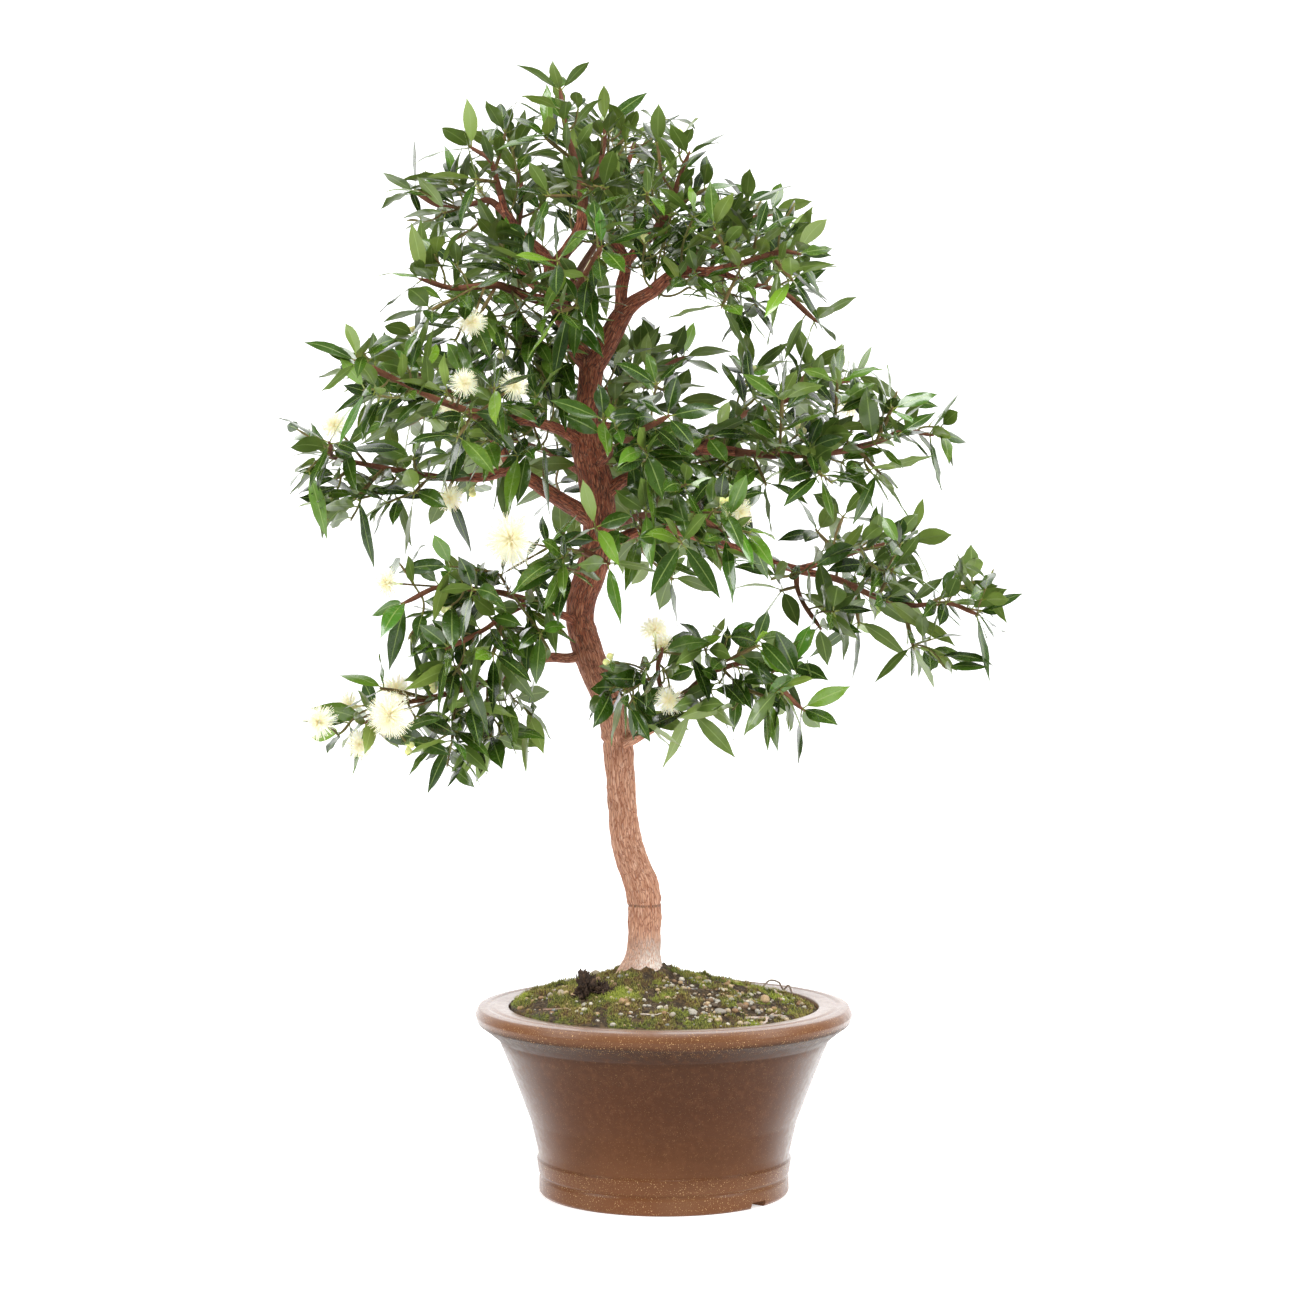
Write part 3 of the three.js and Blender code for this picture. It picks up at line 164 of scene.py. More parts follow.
# The leafy end of each limb: the share of its length that is bare wood, the tip that its last leaves
# reach, its shoots as (share of the length, x, y, z that they reach), and its flowers as (share of the
# length, x, y, z of the ball's middle, ball diameter).
LEAFY_ENDS = {
    "left_low": (0.38, (-284, -80, 403), [
        (0.44, -113, -20, 412), (0.54, -148, -60, 374), (0.62, -189, -110, 484), (0.7, -183, -100, 377),
        (0.84, -268, -100, 455),
    ], [(0.76, -233, -110, 428, 42), (0.91, -272, -60, 432, 27), (0.96, -259, -92, 402, 28)]),
    "left_mid": (0.5, (-250, -110, 511), [
        (0.55, -206, -115, 564), (0.75, -212, -60, 490),
    ], [(0.93, -235, -105, 540, 27)]),
    "left_mid_low": (0.3, (-210, -115, 471), [(0.6, -152, -121, 455)], []),
    "front": (0.35, (-30, -126, 548), [
        (0.6, -96, -130, 548), (0.75, -54, -140, 598),
    ], [(0.9, -130, -112, 577, 50)]),
    "left_main": (0.52, (-288, -112, 668), [
        (0.58, -203, -20, 594), (0.66, -223, -90, 607), (0.75, -258, 10, 597), (0.84, -284, -60, 592),
        (0.92, -298, -75, 615),
    ], [(0.62, -184, -60, 612, 26), (0.9, -283, -66, 675, 26)]),
    "left_back": (0.42, (-298, 170, 732), [(0.55, -178, 120, 750), (0.75, -255, 160, 668)], []),
    "left_front": (0.5, (-275, -196, 734), [
        (0.56, -138, -165, 715), (0.68, -175, -180, 648), (0.85, -216, -110, 747),
    ], [(0.62, -126, -118, 706, 27), (0.74, -166, -150, 707, 26)]),
    "left_high": (0.42, (-234, -95, 805), [
        (0.58, -176, -55, 744), (0.8, -216, -125, 758),
    ], [(0.7, -163, -88, 761, 27)]),
    "crown_left": (0.58, (-251, 80, 903), [(0.66, -212, 80, 824), (0.8, -221, 20, 855)], []),
    "crown_left_up": (0.35, (-197, 15, 941), [(0.6, -185, -25, 892), (0.75, -133, 30, 967)], []),
    "crown_mid_left": (0.45, (-160, 120, 952), [(0.55, -178, 115, 846), (0.75, -96, 125, 906)], []),
    "crown_mid": (0.48, (-95, -25, 998), [
        (0.55, -118, -90, 870), (0.66, -33, -80, 871), (0.82, -124, -55, 940),
    ], []),
    "crown_front": (0.35, (-44, -170, 829), [(0.6, -95, -135, 756), (0.8, -101, -150, 817)], []),
    "right_fork": (0.75, (143, -95, 813), [
        (0.78, 30, -125, 860), (0.82, 38, -120, 750), (0.87, 83, -100, 861), (0.94, 121, -130, 779),
    ], []),
    "leader": (0.66, (-52, 60, 979), [(0.72, -95, 95, 930), (0.85, -14, 50, 960)], []),
    "right_up": (0.38, (33, -65, 935), [
        (0.55, -20, -110, 882), (0.7, 64, -40, 895), (0.85, -16, -60, 945),
    ], []),
    "crown_back": (0.38, (-22, 165, 960), [(0.6, -74, 160, 925), (0.75, 24, 145, 923)], []),
    "crown_right_back": (0.38, (124, 110, 877), [(0.6, 24, 90, 857), (0.8, 91, 60, 904)], []),
    "right_fork_low": (0.35, (156, -60, 744), [(0.6, 88, -40, 748), (0.8, 125, -20, 850)], []),
    "right_thin": (0.38, (44, 145, 753), [(0.6, -8, 95, 767), (0.75, 24, 120, 704)], []),
    "centre_right": (0.38, (20, -165, 688), [(0.62, -56, -145, 690), (0.75, -3, -150, 636)], []),
    "right_main": (0.48, (259, -75, 660), [
        (0.53, 94, -115, 606), (0.6, 102, -130, 718), (0.68, 144, -125, 617), (0.76, 150, -100, 740),
        (0.84, 207, -70, 611), (0.9, 203, -110, 710),
    ], []),
    "right_back": (0.4, (205, 150, 728), [
        (0.55, 84, 120, 748), (0.68, 126, 155, 668), (0.85, 152, 105, 756),
    ], [(0.95, 172, 140, 700, 27)]),
    "right_front": (0.38, (74, -165, 567), [
        (0.55, -20, -115, 561), (0.68, 34, -150, 635), (0.84, 22, -165, 557),
    ], [(0.95, 64, -128, 600, 27)]),
    "right_mid": (0.66, (309, 25, 498), [
        (0.69, 124, 37, 611), (0.74, 182, 85, 470), (0.81, 213, 15, 571), (0.88, 230, 35, 449),
        (0.94, 290, 75, 542),
    ], []),
    "right_mid_up": (0.3, (256, 130, 580), [(0.55, 172, 140, 620), (0.75, 219, 150, 520)], []),
    "right_mid_down": (0.3, (154, 10, 474), [(0.6, 82, 15, 525)], []),
    "right_low": (0.6, (146, -76, 412), [
        (0.64, 22, -105, 411), (0.72, 50, -30, 424), (0.8, 103, -110, 500), (0.9, 111, -105, 428),
    ], [(0.68, 4, -92, 440, 28)]),
    "right_low_left": (0.3, (14, -86, 516), [(0.62, -63, -90, 436)], [(0.8, -8, -88, 500, 28)]),
    "back_low": (0.4, (55, 190, 551), [(0.55, 24, 150, 520), (0.75, -37, 190, 613)], []),
    "back_left": (0.4, (-203, 195, 641), [
        (0.55, -98, 175, 603), (0.75, -174, 190, 721),
    ], [(0.9, -148, 180, 640, 30)]),
    "back_right": (0.4, (77, 195, 679), [(0.55, 33, 150, 714), (0.75, -23, 195, 622)], []),
    "back_crown": (0.4, (-84, 190, 906), [
        (0.55, -125, 175, 856), (0.75, -13, 185, 862),
    ], [(0.9, -66, 168, 830, 28)]),
}

# What the front view shows, in the plane of the pot's middle: the crown's outline, then the open places
# in it as (x, z, half width, half height).
CROWN_OUTLINE = [
    (-98, 986), (-77, 977), (-48, 964), (-26, 968), (-5, 949), (14, 960), (37, 951), (28, 933), (40, 917),
    (37, 907), (60, 912), (73, 894), (87, 877), (130, 872), (130, 852), (152, 831), (150, 798), (164, 756),
    (172, 741), (190, 722), (215, 720), (215, 703), (258, 713), (266, 695), (264, 653), (252, 634),
    (234, 638), (232, 622), (246, 597), (278, 585), (292, 565), (283, 553), (306, 541), (320, 518),
    (321, 488), (299, 465), (266, 458), (227, 444), (212, 474), (194, 481), (174, 486), (158, 463),
    (151, 437), (164, 400), (111, 399), (65, 402), (46, 416), (25, 389), (-8, 389), (-30, 396), (-81, 423),
    (-63, 449), (-81, 479), (-90, 467), (-105, 462), (-86, 403), (-109, 363), (-153, 359), (-188, 353),
    (-215, 361), (-243, 381), (-276, 374), (-312, 381), (-320, 422), (-301, 438), (-281, 447), (-252, 467),
    (-225, 474), (-232, 504), (-264, 504), (-264, 523), (-246, 562), (-224, 576), (-243, 585), (-281, 588),
    (-290, 571), (-329, 583), (-338, 620), (-334, 651), (-341, 682), (-320, 690), (-292, 689), (-294, 706),
    (-278, 718), (-303, 745), (-292, 752), (-262, 741), (-257, 757), (-246, 780), (-234, 789), (-241, 796),
    (-246, 815), (-234, 840), (-224, 852), (-227, 873), (-248, 868), (-246, 903), (-234, 907), (-211, 900),
    (-197, 910), (-203, 938), (-195, 946), (-178, 937), (-153, 939), (-148, 954), (-132, 965), (-144, 970),
    (-109, 972),
]
OPEN_PLACES = [
    (139, 479, 12, 12), (139, 439, 11, 11), (144, 596, 11, 11), (111, 516, 11, 11), (120, 564, 10, 10),
    (11, 709, 10, 10), (-208, 586, 11, 11), (-217, 597, 10, 10), (-93, 625, 9, 9), (275, 498, 11, 11),
    (196, 490, 10, 10), (-223, 527, 10, 10), (237, 558, 11, 11), (23, 697, 33, 19), (23, 534, 58, 18),
    (-237, 495, 12, 32), (148, 601, 35, 13), (192, 488, 18, 11), (9, 526, 56, 19), (-34, 502, 16, 30),
    (88, 514, 32, 10), (40, 712, 12, 30), (23, 695, 14, 11), (18, 777, 30, 11), (51, 755, 11, 12),
    (-98, 840, 9, 18), (120, 601, 40, 18), (-171, 599, 19, 16), (-257, 488, 32, 25), (-70, 831, 11, 16),
]
# The places that more leafy shoots and blooms fill, as (x, y, z) and for blooms the ball diameter; x and
# z are as they show in the front view. Buds are near the shoots that show nearest to (x, z).
FULL_PLACES = {
    "right_low_left": [
        (-46, -84, 444), (-32, -92, 430), (-19, -90, 460), (-2, -84, 463), (4, -78, 447), (-18, -80, 414),
        (-44, -86, 467), (-53, -70, 432), (23, -80, 475),
    ],
    "right_low": [
        (37, -75, 479), (56, -85, 490), (49, -80, 451), (62, -85, 428), (33, -70, 433), (25, -65, 405),
        (84, -90, 488), (102, -90, 444), (125, -80, 463), (77, -90, 423),
    ],
    "left_low": [
        (-219, -70, 421), (-206, -60, 396), (-191, -55, 378), (-228, -80, 398), (-171, -50, 389),
        (-144, -60, 404), (-140, -70, 435), (-171, -80, 431), (-197, -60, 444), (-285, -80, 404),
        (-215, -60, 379), (-116, -60, 421),
    ],
    "right_main": [
        (146, -70, 627), (164, -60, 611), (180, -80, 636), (137, -70, 664), (243, -60, 673), (133, -60, 623),
        (157, -50, 645),
    ],
    "left_high": [
        (-90, -45, 734), (-100, -50, 713), (-81, -40, 710), (-127, -70, 759), (-107, -50, 771),
        (-102, -60, 747), (-183, -60, 750), (-144, -60, 743),
    ],
    "left_main": [
        (-292, -50, 613), (-275, -40, 595), (-301, -30, 590), (-243, -60, 608), (-222, -50, 604),
        (-312, -70, 638), (-319, -60, 671), (-220, -60, 646),
    ],
    "left_mid": [
        (-102, -80, 569), (-231, -80, 553), (-105, -75, 521), (-109, -90, 495), (-102, -70, 481),
        (-140, -80, 488), (-171, -90, 488),
    ],
    "right_mid": [
        (172, -10, 572), (234, 20, 488), (247, 30, 463), (208, 0, 572), (95, -40, 542), (289, 0, 548),
    ],
}
MORE_BLOOMS = {
    "left_low": [(-305, -108, 416, 34), (-236, -66, 444, 34)],
    "left_front": [(-187, -70, 690, 24)],
    "right_low_left": [(0, -74, 483, 24)],
}
BUD_PLACES = [(12, 934), (-14, 837), (-135, 727), (-36, 475), (-39, 464)]

# The pot's profile as (radius, height), the larger stones as (x, y, radius), the curled twig as (x, y, z)
# and the swelling of the roots at ten angles round the trunk.
POT_PROFILE = [
    (96, 8), (96, 0), (108.8, 0), (110.6, 2.4), (110.4, 14), (109, 16.2), (109.2, 17.2), (110.8, 18.8),
    (112.6, 30.8), (111, 32.2), (111.6, 38), (118, 65), (127.3, 90), (137, 115), (146, 137), (156.5, 145.6),
    (164, 151), (166.4, 158), (163.5, 165), (157, 166), (153.5, 164.8), (150, 166), (137, 165), (134, 150),
    (98, 22), (12, 20), (12, 8),
]
STONES = [
    (48, -92, 5), (66, -70, 4), (24, -98, 4.5), (-36, -84, 4), (88, -38, 5), (-90, -30, 4.5), (-62, 62, 5),
    (30, 78, 5), (86, 40, 4), (-8, 98, 4.5),
]
CURLED_TWIG = [
    (86, 58, 160), (89, 60, 171), (96, 61, 178), (104, 60, 176), (108, 59, 170), (112, 58, 174),
    (116, 57, 166),
]
ROOT_SWELL = (0.94, 1.1, 0.93, 1.02, 1.14, 1.05, 1.12, 0.95, 1.08, 0.96)

# The planned growth: the gap between bare wood and leafy end, the shoots and the spacing of their joints,
# and how far leaves keep off everything.
BUTT_GAP = 0.3
BEND_GAP = 5
SHOOT_RADIUS = 1.15
BENT_ABOVE = 45
TWO_PAIRS_ABOVE = 62
FIRST_JOINT = 8
JOINT_SPACING = 9
TIP_JOINT = 1.5
LEAF_LENGTH = 45
LEAF_WIDTH = 15.5
LEAF_REACH = LEAF_LENGTH * 0.72
LEAF_CLEARANCE = 4.4
STEM_CLEARANCE = 3.2
BLOOM_CLEARANCE = 1.5
CELL = 9
CROWN_MIDDLE = np.array([-20.0, 0.0, 660.0])

# The fine growth: its clearances, the chance of a shoot at a place, and where it may grow.
FINE_CLEARANCE = 2.4
SHOOT_CLEARANCE = 2.2
WOOD_CLEARANCE = 2.5
FINE_STEP = 3.0
JOINT_GAP = 6.5
SHOOTS_BETWEEN = 0.44
SHOOTS_INSIDE = 0.55
SHOOT_BEARING = 6.6
INSIDE_ABOVE = 650
YOUNG_SHARE = 0.2

# The front view, and the heights and half width of the trunk that it shows bare.
VIEW_DISTANCE = 2773
VIEW_HEIGHT = 590
BARE_TRUNK = ((300, 392), (486, 735))
TRUNK_HALF = 13

# The pot's foot ring and its notches, the soil's mound, and what stands on it.
FOOT_RING = (95, 111)
FOOT_MIDDLE = 102
NOTCH_ANGLES = (-42, 138)
NOTCH_WIDTH = 17
NOTCH_HEIGHT = 5.5
NOTCH_EDGE = 0.3
SOIL_EDGE = 161.5
MOUND_RISE = 31
MOUND_CENTRE = (-12, 0)
MOUND_REACH = 140
TRUNK_FOOT = (-19, 0)
STONY_PLACE = (52, -62)
CLOD = (-68, -58)

UP = np.array([0.0, 0.0, 1.0])
FULL_TURN = 2 * math.pi


# Small tools: vectors, steady random draws and noise.

def vec(*xyz):
    return np.array(xyz, float)


def cross(a, b):
    return np.array([a[1] * b[2] - a[2] * b[1], a[2] * b[0] - a[0] * b[2], a[0] * b[1] - a[1] * b[0]])


def size(v):
    return math.sqrt(v @ v)


def unit(v):
    return v / size(v)


def units(rows):
    return rows / np.linalg.norm(rows, axis=1)[:, None]


def around(u, v, angle):
    return u * math.cos(angle) + v * math.sin(angle)


def rotate(v, axis, angle):
    c, s = math.cos(angle), math.sin(angle)
    return v * c + cross(axis, v) * s + axis * ((axis @ v) * (1 - c))


def turned(frame, tangent):
    """The frame (tangent, u, v) turned the shortest way to a new tangent."""
    axis = cross(frame[0], tangent)
    sine = size(axis)
    if sine < 1e-12:
        return tangent, frame[1], frame[2]
    angle = math.atan2(sine, frame[0] @ tangent)
    return tangent, rotate(frame[1], axis / sine, angle), rotate(frame[2], axis / sine, angle)


def first_frame(tangent):
    side = vec(1, 0, 0) if abs(tangent[2]) > 0.9 else UP
    u = unit(cross(side, tangent))
    return tangent, u, cross(tangent, u)


def bent(start, middle, end, shares):
    """The points at some shares of the curve that leaves towards the middle and comes to the end."""
    shares = np.asarray(shares)[:, None]
    return start * (1 - shares) ** 2 + middle * 2 * shares * (1 - shares) + end * shares**2


def seeded(seed):
    """The same row of draws from 0 to 1 in every run."""
    state = seed
    mask = 0xFFFFFFFF

    def draw():
        nonlocal state
        state = (state + 0x6D2B79F5) & mask
        mixed = ((state ^ (state >> 15)) * (state | 1)) & mask
        mixed ^= (mixed + (((mixed ^ (mixed >> 7)) * (mixed | 61)) & mask)) & mask
        return ((mixed ^ (mixed >> 14)) & mask) / 4294967296

    return draw


def hashed(cells, seed):
    """A steady number from 0 to 1 for each row of whole numbers."""
    cells = cells.astype(np.int64)
    mixed = cells[:, 0] * 374761393 + cells[:, 1] * 668265263 + cells[:, 2] * 1442695041 + seed * 974711
    mixed &= 0xFFFFFFFF
    mixed = ((mixed ^ (mixed >> 13)) * 1274126177) & 0xFFFFFFFF
    mixed = ((mixed ^ (mixed >> 16)) * 668265263) & 0xFFFFFFFF
    return (mixed ^ (mixed >> 15)) / 4294967296


def noise(points, seed=0):
    """Smooth noise from -1 to 1 at each point."""
    points = np.asarray(points, float)
    base = np.floor(points)
    part = points - base
    ease = part * part * (3 - 2 * part)
    total = np.zeros(len(points))
    for corner in ((x, y, z) for x in (0, 1) for y in (0, 1) for z in (0, 1)):
        offset = np.array(corner)
        weight = np.prod(np.where(offset, ease, 1 - ease), axis=1)
        total += weight * hashed(base + offset, seed)
    return 2 * total - 1


def layers(points, seed, count):
    """Several sizes of noise on top of each other."""
    return sum(noise(points * 2.03**i, seed + i) * 0.5**i for i in range(count))


# Growth plan: the stems with their joints, then the leaves, set clear of one another.

class Line:
    """A centre line with the point, radius and direction at any distance along it."""

    def __init__(self, points, radii):
        self.points = [np.asarray(p, float) for p in points]
        self.radii = list(radii)
        self.reached = [0.0]
        for a, b in zip(self.points, self.points[1:]):
            self.reached.append(self.reached[-1] + size(b - a))
        self.length = self.reached[-1]

    def at(self, distance):
        wanted = min(max(distance, 0), self.length)
        i = 1
        while i < len(self.reached) - 1 and self.reached[i] < wanted:
            i += 1
        a, b = self.points[i - 1], self.points[i]
        share = (wanted - self.reached[i - 1]) / (self.reached[i] - self.reached[i - 1])
        radius = self.radii[i - 1] + (self.radii[i] - self.radii[i - 1]) * share
        return a + (b - a) * share, radius, unit(b - a)


def limb_stops(name):
    """The points and the radii of a limb."""
    return [stop[:3] for stop in LIMBS[name]], [stop[3] for stop in LIMBS[name]]


blocked = {}


def cell_of(point):
    return int(point[0] // CELL), int(point[1] // CELL), int(point[2] // CELL)


def block(point, radius, owner):
    blocked.setdefault(cell_of(point), []).append((*point, radius, owner))


def is_clear(point, clearance, owner):
    """True when nothing but the owner's own lies within the clearance of the point."""
    px, py, pz = point
    cx, cy, cz = cell_of(point)
    for cell in ((cx + x, cy + y, cz + z) for x in (-1, 0, 1) for y in (-1, 0, 1) for z in (-1, 0, 1)):
        for bx, by, bz, radius, holder in blocked.get(cell, ()):
            apart = (bx - px) ** 2 + (by - py) ** 2 + (bz - pz) ** 2
            if holder != owner and apart < (clearance + radius) ** 2:
                return False
    return True


def bare_length(name, line):
    """How far the bare wood of a limb goes, kept off the bends of its centre line."""
    if name not in LEAFY_ENDS:
        return line.length
    wanted = LEAFY_ENDS[name][0] * line.length
    bends = [reached for reached in line.reached if abs(reached - wanted) < BEND_GAP]
    return bends[0] + BEND_GAP if bends else wanted


def bare_stops(name):
    line = Line(*limb_stops(name))
    end = bare_length(name, line)
    point, radius, _ = line.at(end)
    kept = [i for i, reached in enumerate(line.reached) if reached < end - 4]
    return [line.points[i] for i in kept] + [point], [line.radii[i] for i in kept] + [radius]


class WoodCheck:
    """The bare wood as round stretches, to keep leaves off it."""

    def __init__(self):
        rows = []
        for name in LIMBS:
            points, radii = bare_stops(name)
            rows += [(*a, *b, ra, rb) for a, b, ra, rb in zip(points, points[1:], radii, radii[1:])]
        rows = np.array(rows)
        self.start, self.along = rows[:, :3], rows[:, 3:6] - rows[:, :3]
        self.start_radius, self.growth = rows[:, 6], rows[:, 7] - rows[:, 6]
        self.squared = (self.along**2).sum(1)

    def is_clear(self, points, clearance):
        away = points[:, None, :] - self.start
        share = np.clip((away * self.along).sum(2) / self.squared, 0, 1)
        distance = np.linalg.norm(away - share[:, :, None] * self.along, axis=2)
        return bool((distance > clearance + self.start_radius + self.growth * share).all())


wood_check = WoodCheck()
bloom_balls = []


def is_clear_of_blooms(points):
    return all(
        (np.linalg.norm(points - bloom["centre"], axis=1) > bloom["diameter"] / 2 + BLOOM_CLEARANCE).all()
        for bloom in bloom_balls
    )


def facet_directions(joint):
    return [joint["v"], -joint["u"], -joint["v"], joint["u"]]


def facet_of(joint, k):
    directions = facet_directions(joint)
    centre = joint["centre"] + directions[k] * (joint["radius"] * math.sqrt(0.5))
    return {"centre": centre, "normal": directions[k], "u": directions[(k + 1) % 4], "v": joint["tangent"]}


def plan_stem(line, wanted, frame, grown_from=None, blunt=False):
    """A stem through the stops of a line, with short straight joints at the wanted distances."""
    joints = []
    for want in wanted:
        point, radius, tangent = line.at(want["distance"])
        shape = {"centre": point, "radius": radius, "half": max(radius, 1.2), "tangent": tangent}
        joints.append({**want, **shape, "children": [None] * 4})
    sections = list(joints)
    for i, reached in enumerate(line.reached):
        is_first = i == 0 and grown_from is None
        is_free = all(abs(joint["distance"] - reached) > joint["half"] + 3 for joint in joints)
        if is_first or (i > 0 and is_free):
            sections.append({"distance": reached, "centre": line.points[i], "radius": line.radii[i]})
    sections.sort(key=lambda section: section["distance"])
    current = frame
    for i, section in enumerate(sections):
        start = sections[0]["centre"] if grown_from is None else grown_from
        before = sections[i - 1]["centre"] if i else start
        after = sections[min(i + 1, len(sections) - 1)]["centre"]
        if i or grown_from is not None:
            current = turned(current, section["tangent"] if "children" in section else unit(after - before))
        section["tangent"], section["u"], section["v"] = current
    return {"sections": sections, "joints": joints, "line": line, "blunt": blunt}


def block_stem(stem, owner):
    for i in range(int(stem["line"].length // 3) + 1):
        point, radius, _ = stem["line"].at(i * 3)
        block(point, radius, owner)


def plan_side_stem(joint, target, shortest, room, radius, owner, blunt=False):
    """A stem that leaves square to the joint's facet nearest to the target, bends towards the target and
    ends at some room before it. A blunt one carries no leaves."""
    aim = target - joint["centre"]
    free = [k for k in range(4) if joint["children"][k] is None]
    k = max(free, key=lambda k: facet_directions(joint)[k] @ aim)
    facet = facet_of(joint, k)
    start = facet["centre"]
    length = max(shortest, size(target - start) - room)
    middle = start + facet["normal"] * (length * 0.34) + facet["v"] * (length * 0.14)
    shares = (0, 0.5, 1) if length > BENT_ABOVE else (0, 1)
    points = bent(start, middle, start + unit(target - start) * length, shares)
    line = Line(points, [radius * 1.2] + [radius] * (len(shares) - 1))
    wanted = [] if blunt else [{"distance": line.length - 1.3, "leaves": 4}]
    if length > TWO_PAIRS_ABOVE and not blunt:
        wanted.insert(0, {"distance": line.length * 0.52, "leaves": 2})
    stem = plan_stem(line, wanted, (facet["normal"], facet["u"], facet["v"]), start, blunt)
    stem["root"] = joint["centre"]
    block_stem(stem, owner)
    joint["children"][k] = stem
    return stem


def plan_end(name):
    _, tip, shoots, flowers = LEAFY_ENDS[name]
    whole = Line(*limb_stops(name))
    start = bare_length(name, whole) + BUTT_GAP
    point, radius, tangent = whole.at(start)
    points, radii = [point], [radius]
    for i, reached in enumerate(whole.reached):
        if reached > start + 6:
            points.append(whole.points[i])
            radii.append(whole.radii[i])
    last = whole.points[-1]
    reach = size(np.array(tip) - last)
    if reach > LEAF_LENGTH:
        points.append(last + (np.array(tip) - last) * (1 - LEAF_REACH / reach))
        radii.append(1.3)
    line = Line(points, radii)
    wanted = [{"distance": share * whole.length - start, "target": vec(*place)} for share, *place in shoots]
    for share, *place, diameter in flowers:
        wanted.append({"distance": share * whole.length - start, "flower": vec(*place), "diameter": diameter})
    wanted.sort(key=lambda want: want["distance"])
    wanted.append({"distance": line.length - TIP_JOINT, "leaves": 4})
    lowest = FIRST_JOINT
    for want in wanted:
        want["distance"] = max(want["distance"], lowest)
        lowest = want["distance"] + JOINT_SPACING
    wanted[-1]["distance"] = line.length - TIP_JOINT
    stem = plan_stem(line, wanted, first_frame(tangent))
    block_stem(stem, name)
    stems, blooms = [stem], []
    for joint in stem["joints"]:
        if "target" in joint:
            stems.append(plan_side_stem(joint, joint["target"], 16, LEAF_REACH, SHOOT_RADIUS, name))
        if "flower" in joint:
            ball = {"centre": joint["flower"], "diameter": joint["diameter"]}
            stalk = plan_side_stem(joint, ball["centre"], 5, ball["diameter"] * 0.3 + 4, 1, name, True)
            blooms.append({**ball, "start": stalk["sections"][-1]["centre"], "stem": stalk})
    return {"name": name, "stems": stems, "blooms": blooms, "leaves": []}


LEAF_TRIES = [
    (0, 0), (0.35, 0), (-0.35, 0), (0.2, 0.3), (-0.2, -0.3), (0.65, 0.15), (-0.65, 0.15), (0.5, -0.35),
    (-0.5, -0.35),
]
SAMPLE_SHARES = [0.2 + 0.133 * i for i in range(7)]


def leaf_samples(leaf):
    """Points on a leaf's rib and edges, with the share of its length at which each lies."""
    rows, shares = [], []
    for share in SAMPLE_SHARES:
        rib = leaf["base"] + leaf["forward"] * (leaf["length"] * share)
        rib = rib - UP * (leaf["droop"] * leaf["length"] * share * share)
        half = leaf["width"] * 0.5 * math.sin(math.pi * min(share + 0.08, 1) ** 1.15)
        rows.append(rib)
        shares.append(share)
        if share < 0.95:
            rows += [rib + leaf["side"] * half, rib - leaf["side"] * half]
            shares += [share, share]
    return np.array(rows), shares


def plan_leaf(base, normal, tangent, draw, owner, centre, clearance=LEAF_CLEARANCE, scale=1.0):
    """A leaf set in the first of several turns in which it is clear of everything, or None."""
    spread = 0.82 + 0.36 * draw()
    swing = 0.35 * (draw() - 0.5)
    length = LEAF_LENGTH * (0.8 + 0.36 * draw()) * scale
    width = LEAF_WIDTH * (0.84 + 0.28 * draw()) * scale
    droop = 0.05 + 0.24 * draw()
    tilt = (draw() - 0.5, draw() - 0.5)
    lift = min(max((base[2] - 560) / 600, 0.05), 0.35)
    facing = vec(tilt[0] * 1.1, tilt[1] * 1.1, 0.55) + unit(base - CROWN_MIDDLE) * 0.55 + normal * 0.15
    for swing_change, spread_change in LEAF_TRIES:
        angle = spread + spread_change
        forward = normal * math.sin(angle) + tangent * math.cos(angle)
        forward = unit(rotate(forward, tangent, swing + swing_change) + UP * lift)
        leaf = {
            "base": base, "forward": forward, "side": unit(cross(facing, forward)), "length": length,
            "width": width, "droop": droop, "centre": centre, "arch": 0.12, "young": 0.0, "at_tip": False,
        }
        rows, shares = leaf_samples(leaf)
        if not wood_check.is_clear(rows, STEM_CLEARANCE * min(1, clearance / LEAF_CLEARANCE)):
            continue
        if not is_clear_of_blooms(rows):
            continue
        if all(is_clear(p, clearance, owner if s < 0.4 else "") for p, s in zip(rows, shares)):
            for p in rows:
                block(p, 0, owner)
            return leaf
    return None


def plan_leaves(end, draw):
    """Opposite pairs, the next pair crosswise."""
    for s, stem in enumerate(end["stems"]):
        for j, joint in enumerate(stem["joints"]):
            first = 1 if abs(joint["u"][2]) < abs(joint["v"][2]) else 0
            order = [first, first + 2, (first + 1) % 4, (first + 3) % 4]
            for k in order[: joint.get("leaves", 0)]:
                facet, owner = facet_of(joint, k), f"{end['name']} {s} {j}"
                place = (facet["centre"], facet["normal"], joint["tangent"])
                leaf = plan_leaf(*place, draw, owner, joint["centre"])
                if leaf:
                    leaf["at_tip"] = joint is stem["joints"][-1]
                    end["leaves"].append(leaf)


# Fine growth between the planned joints: more leaf pairs and small side shoots.

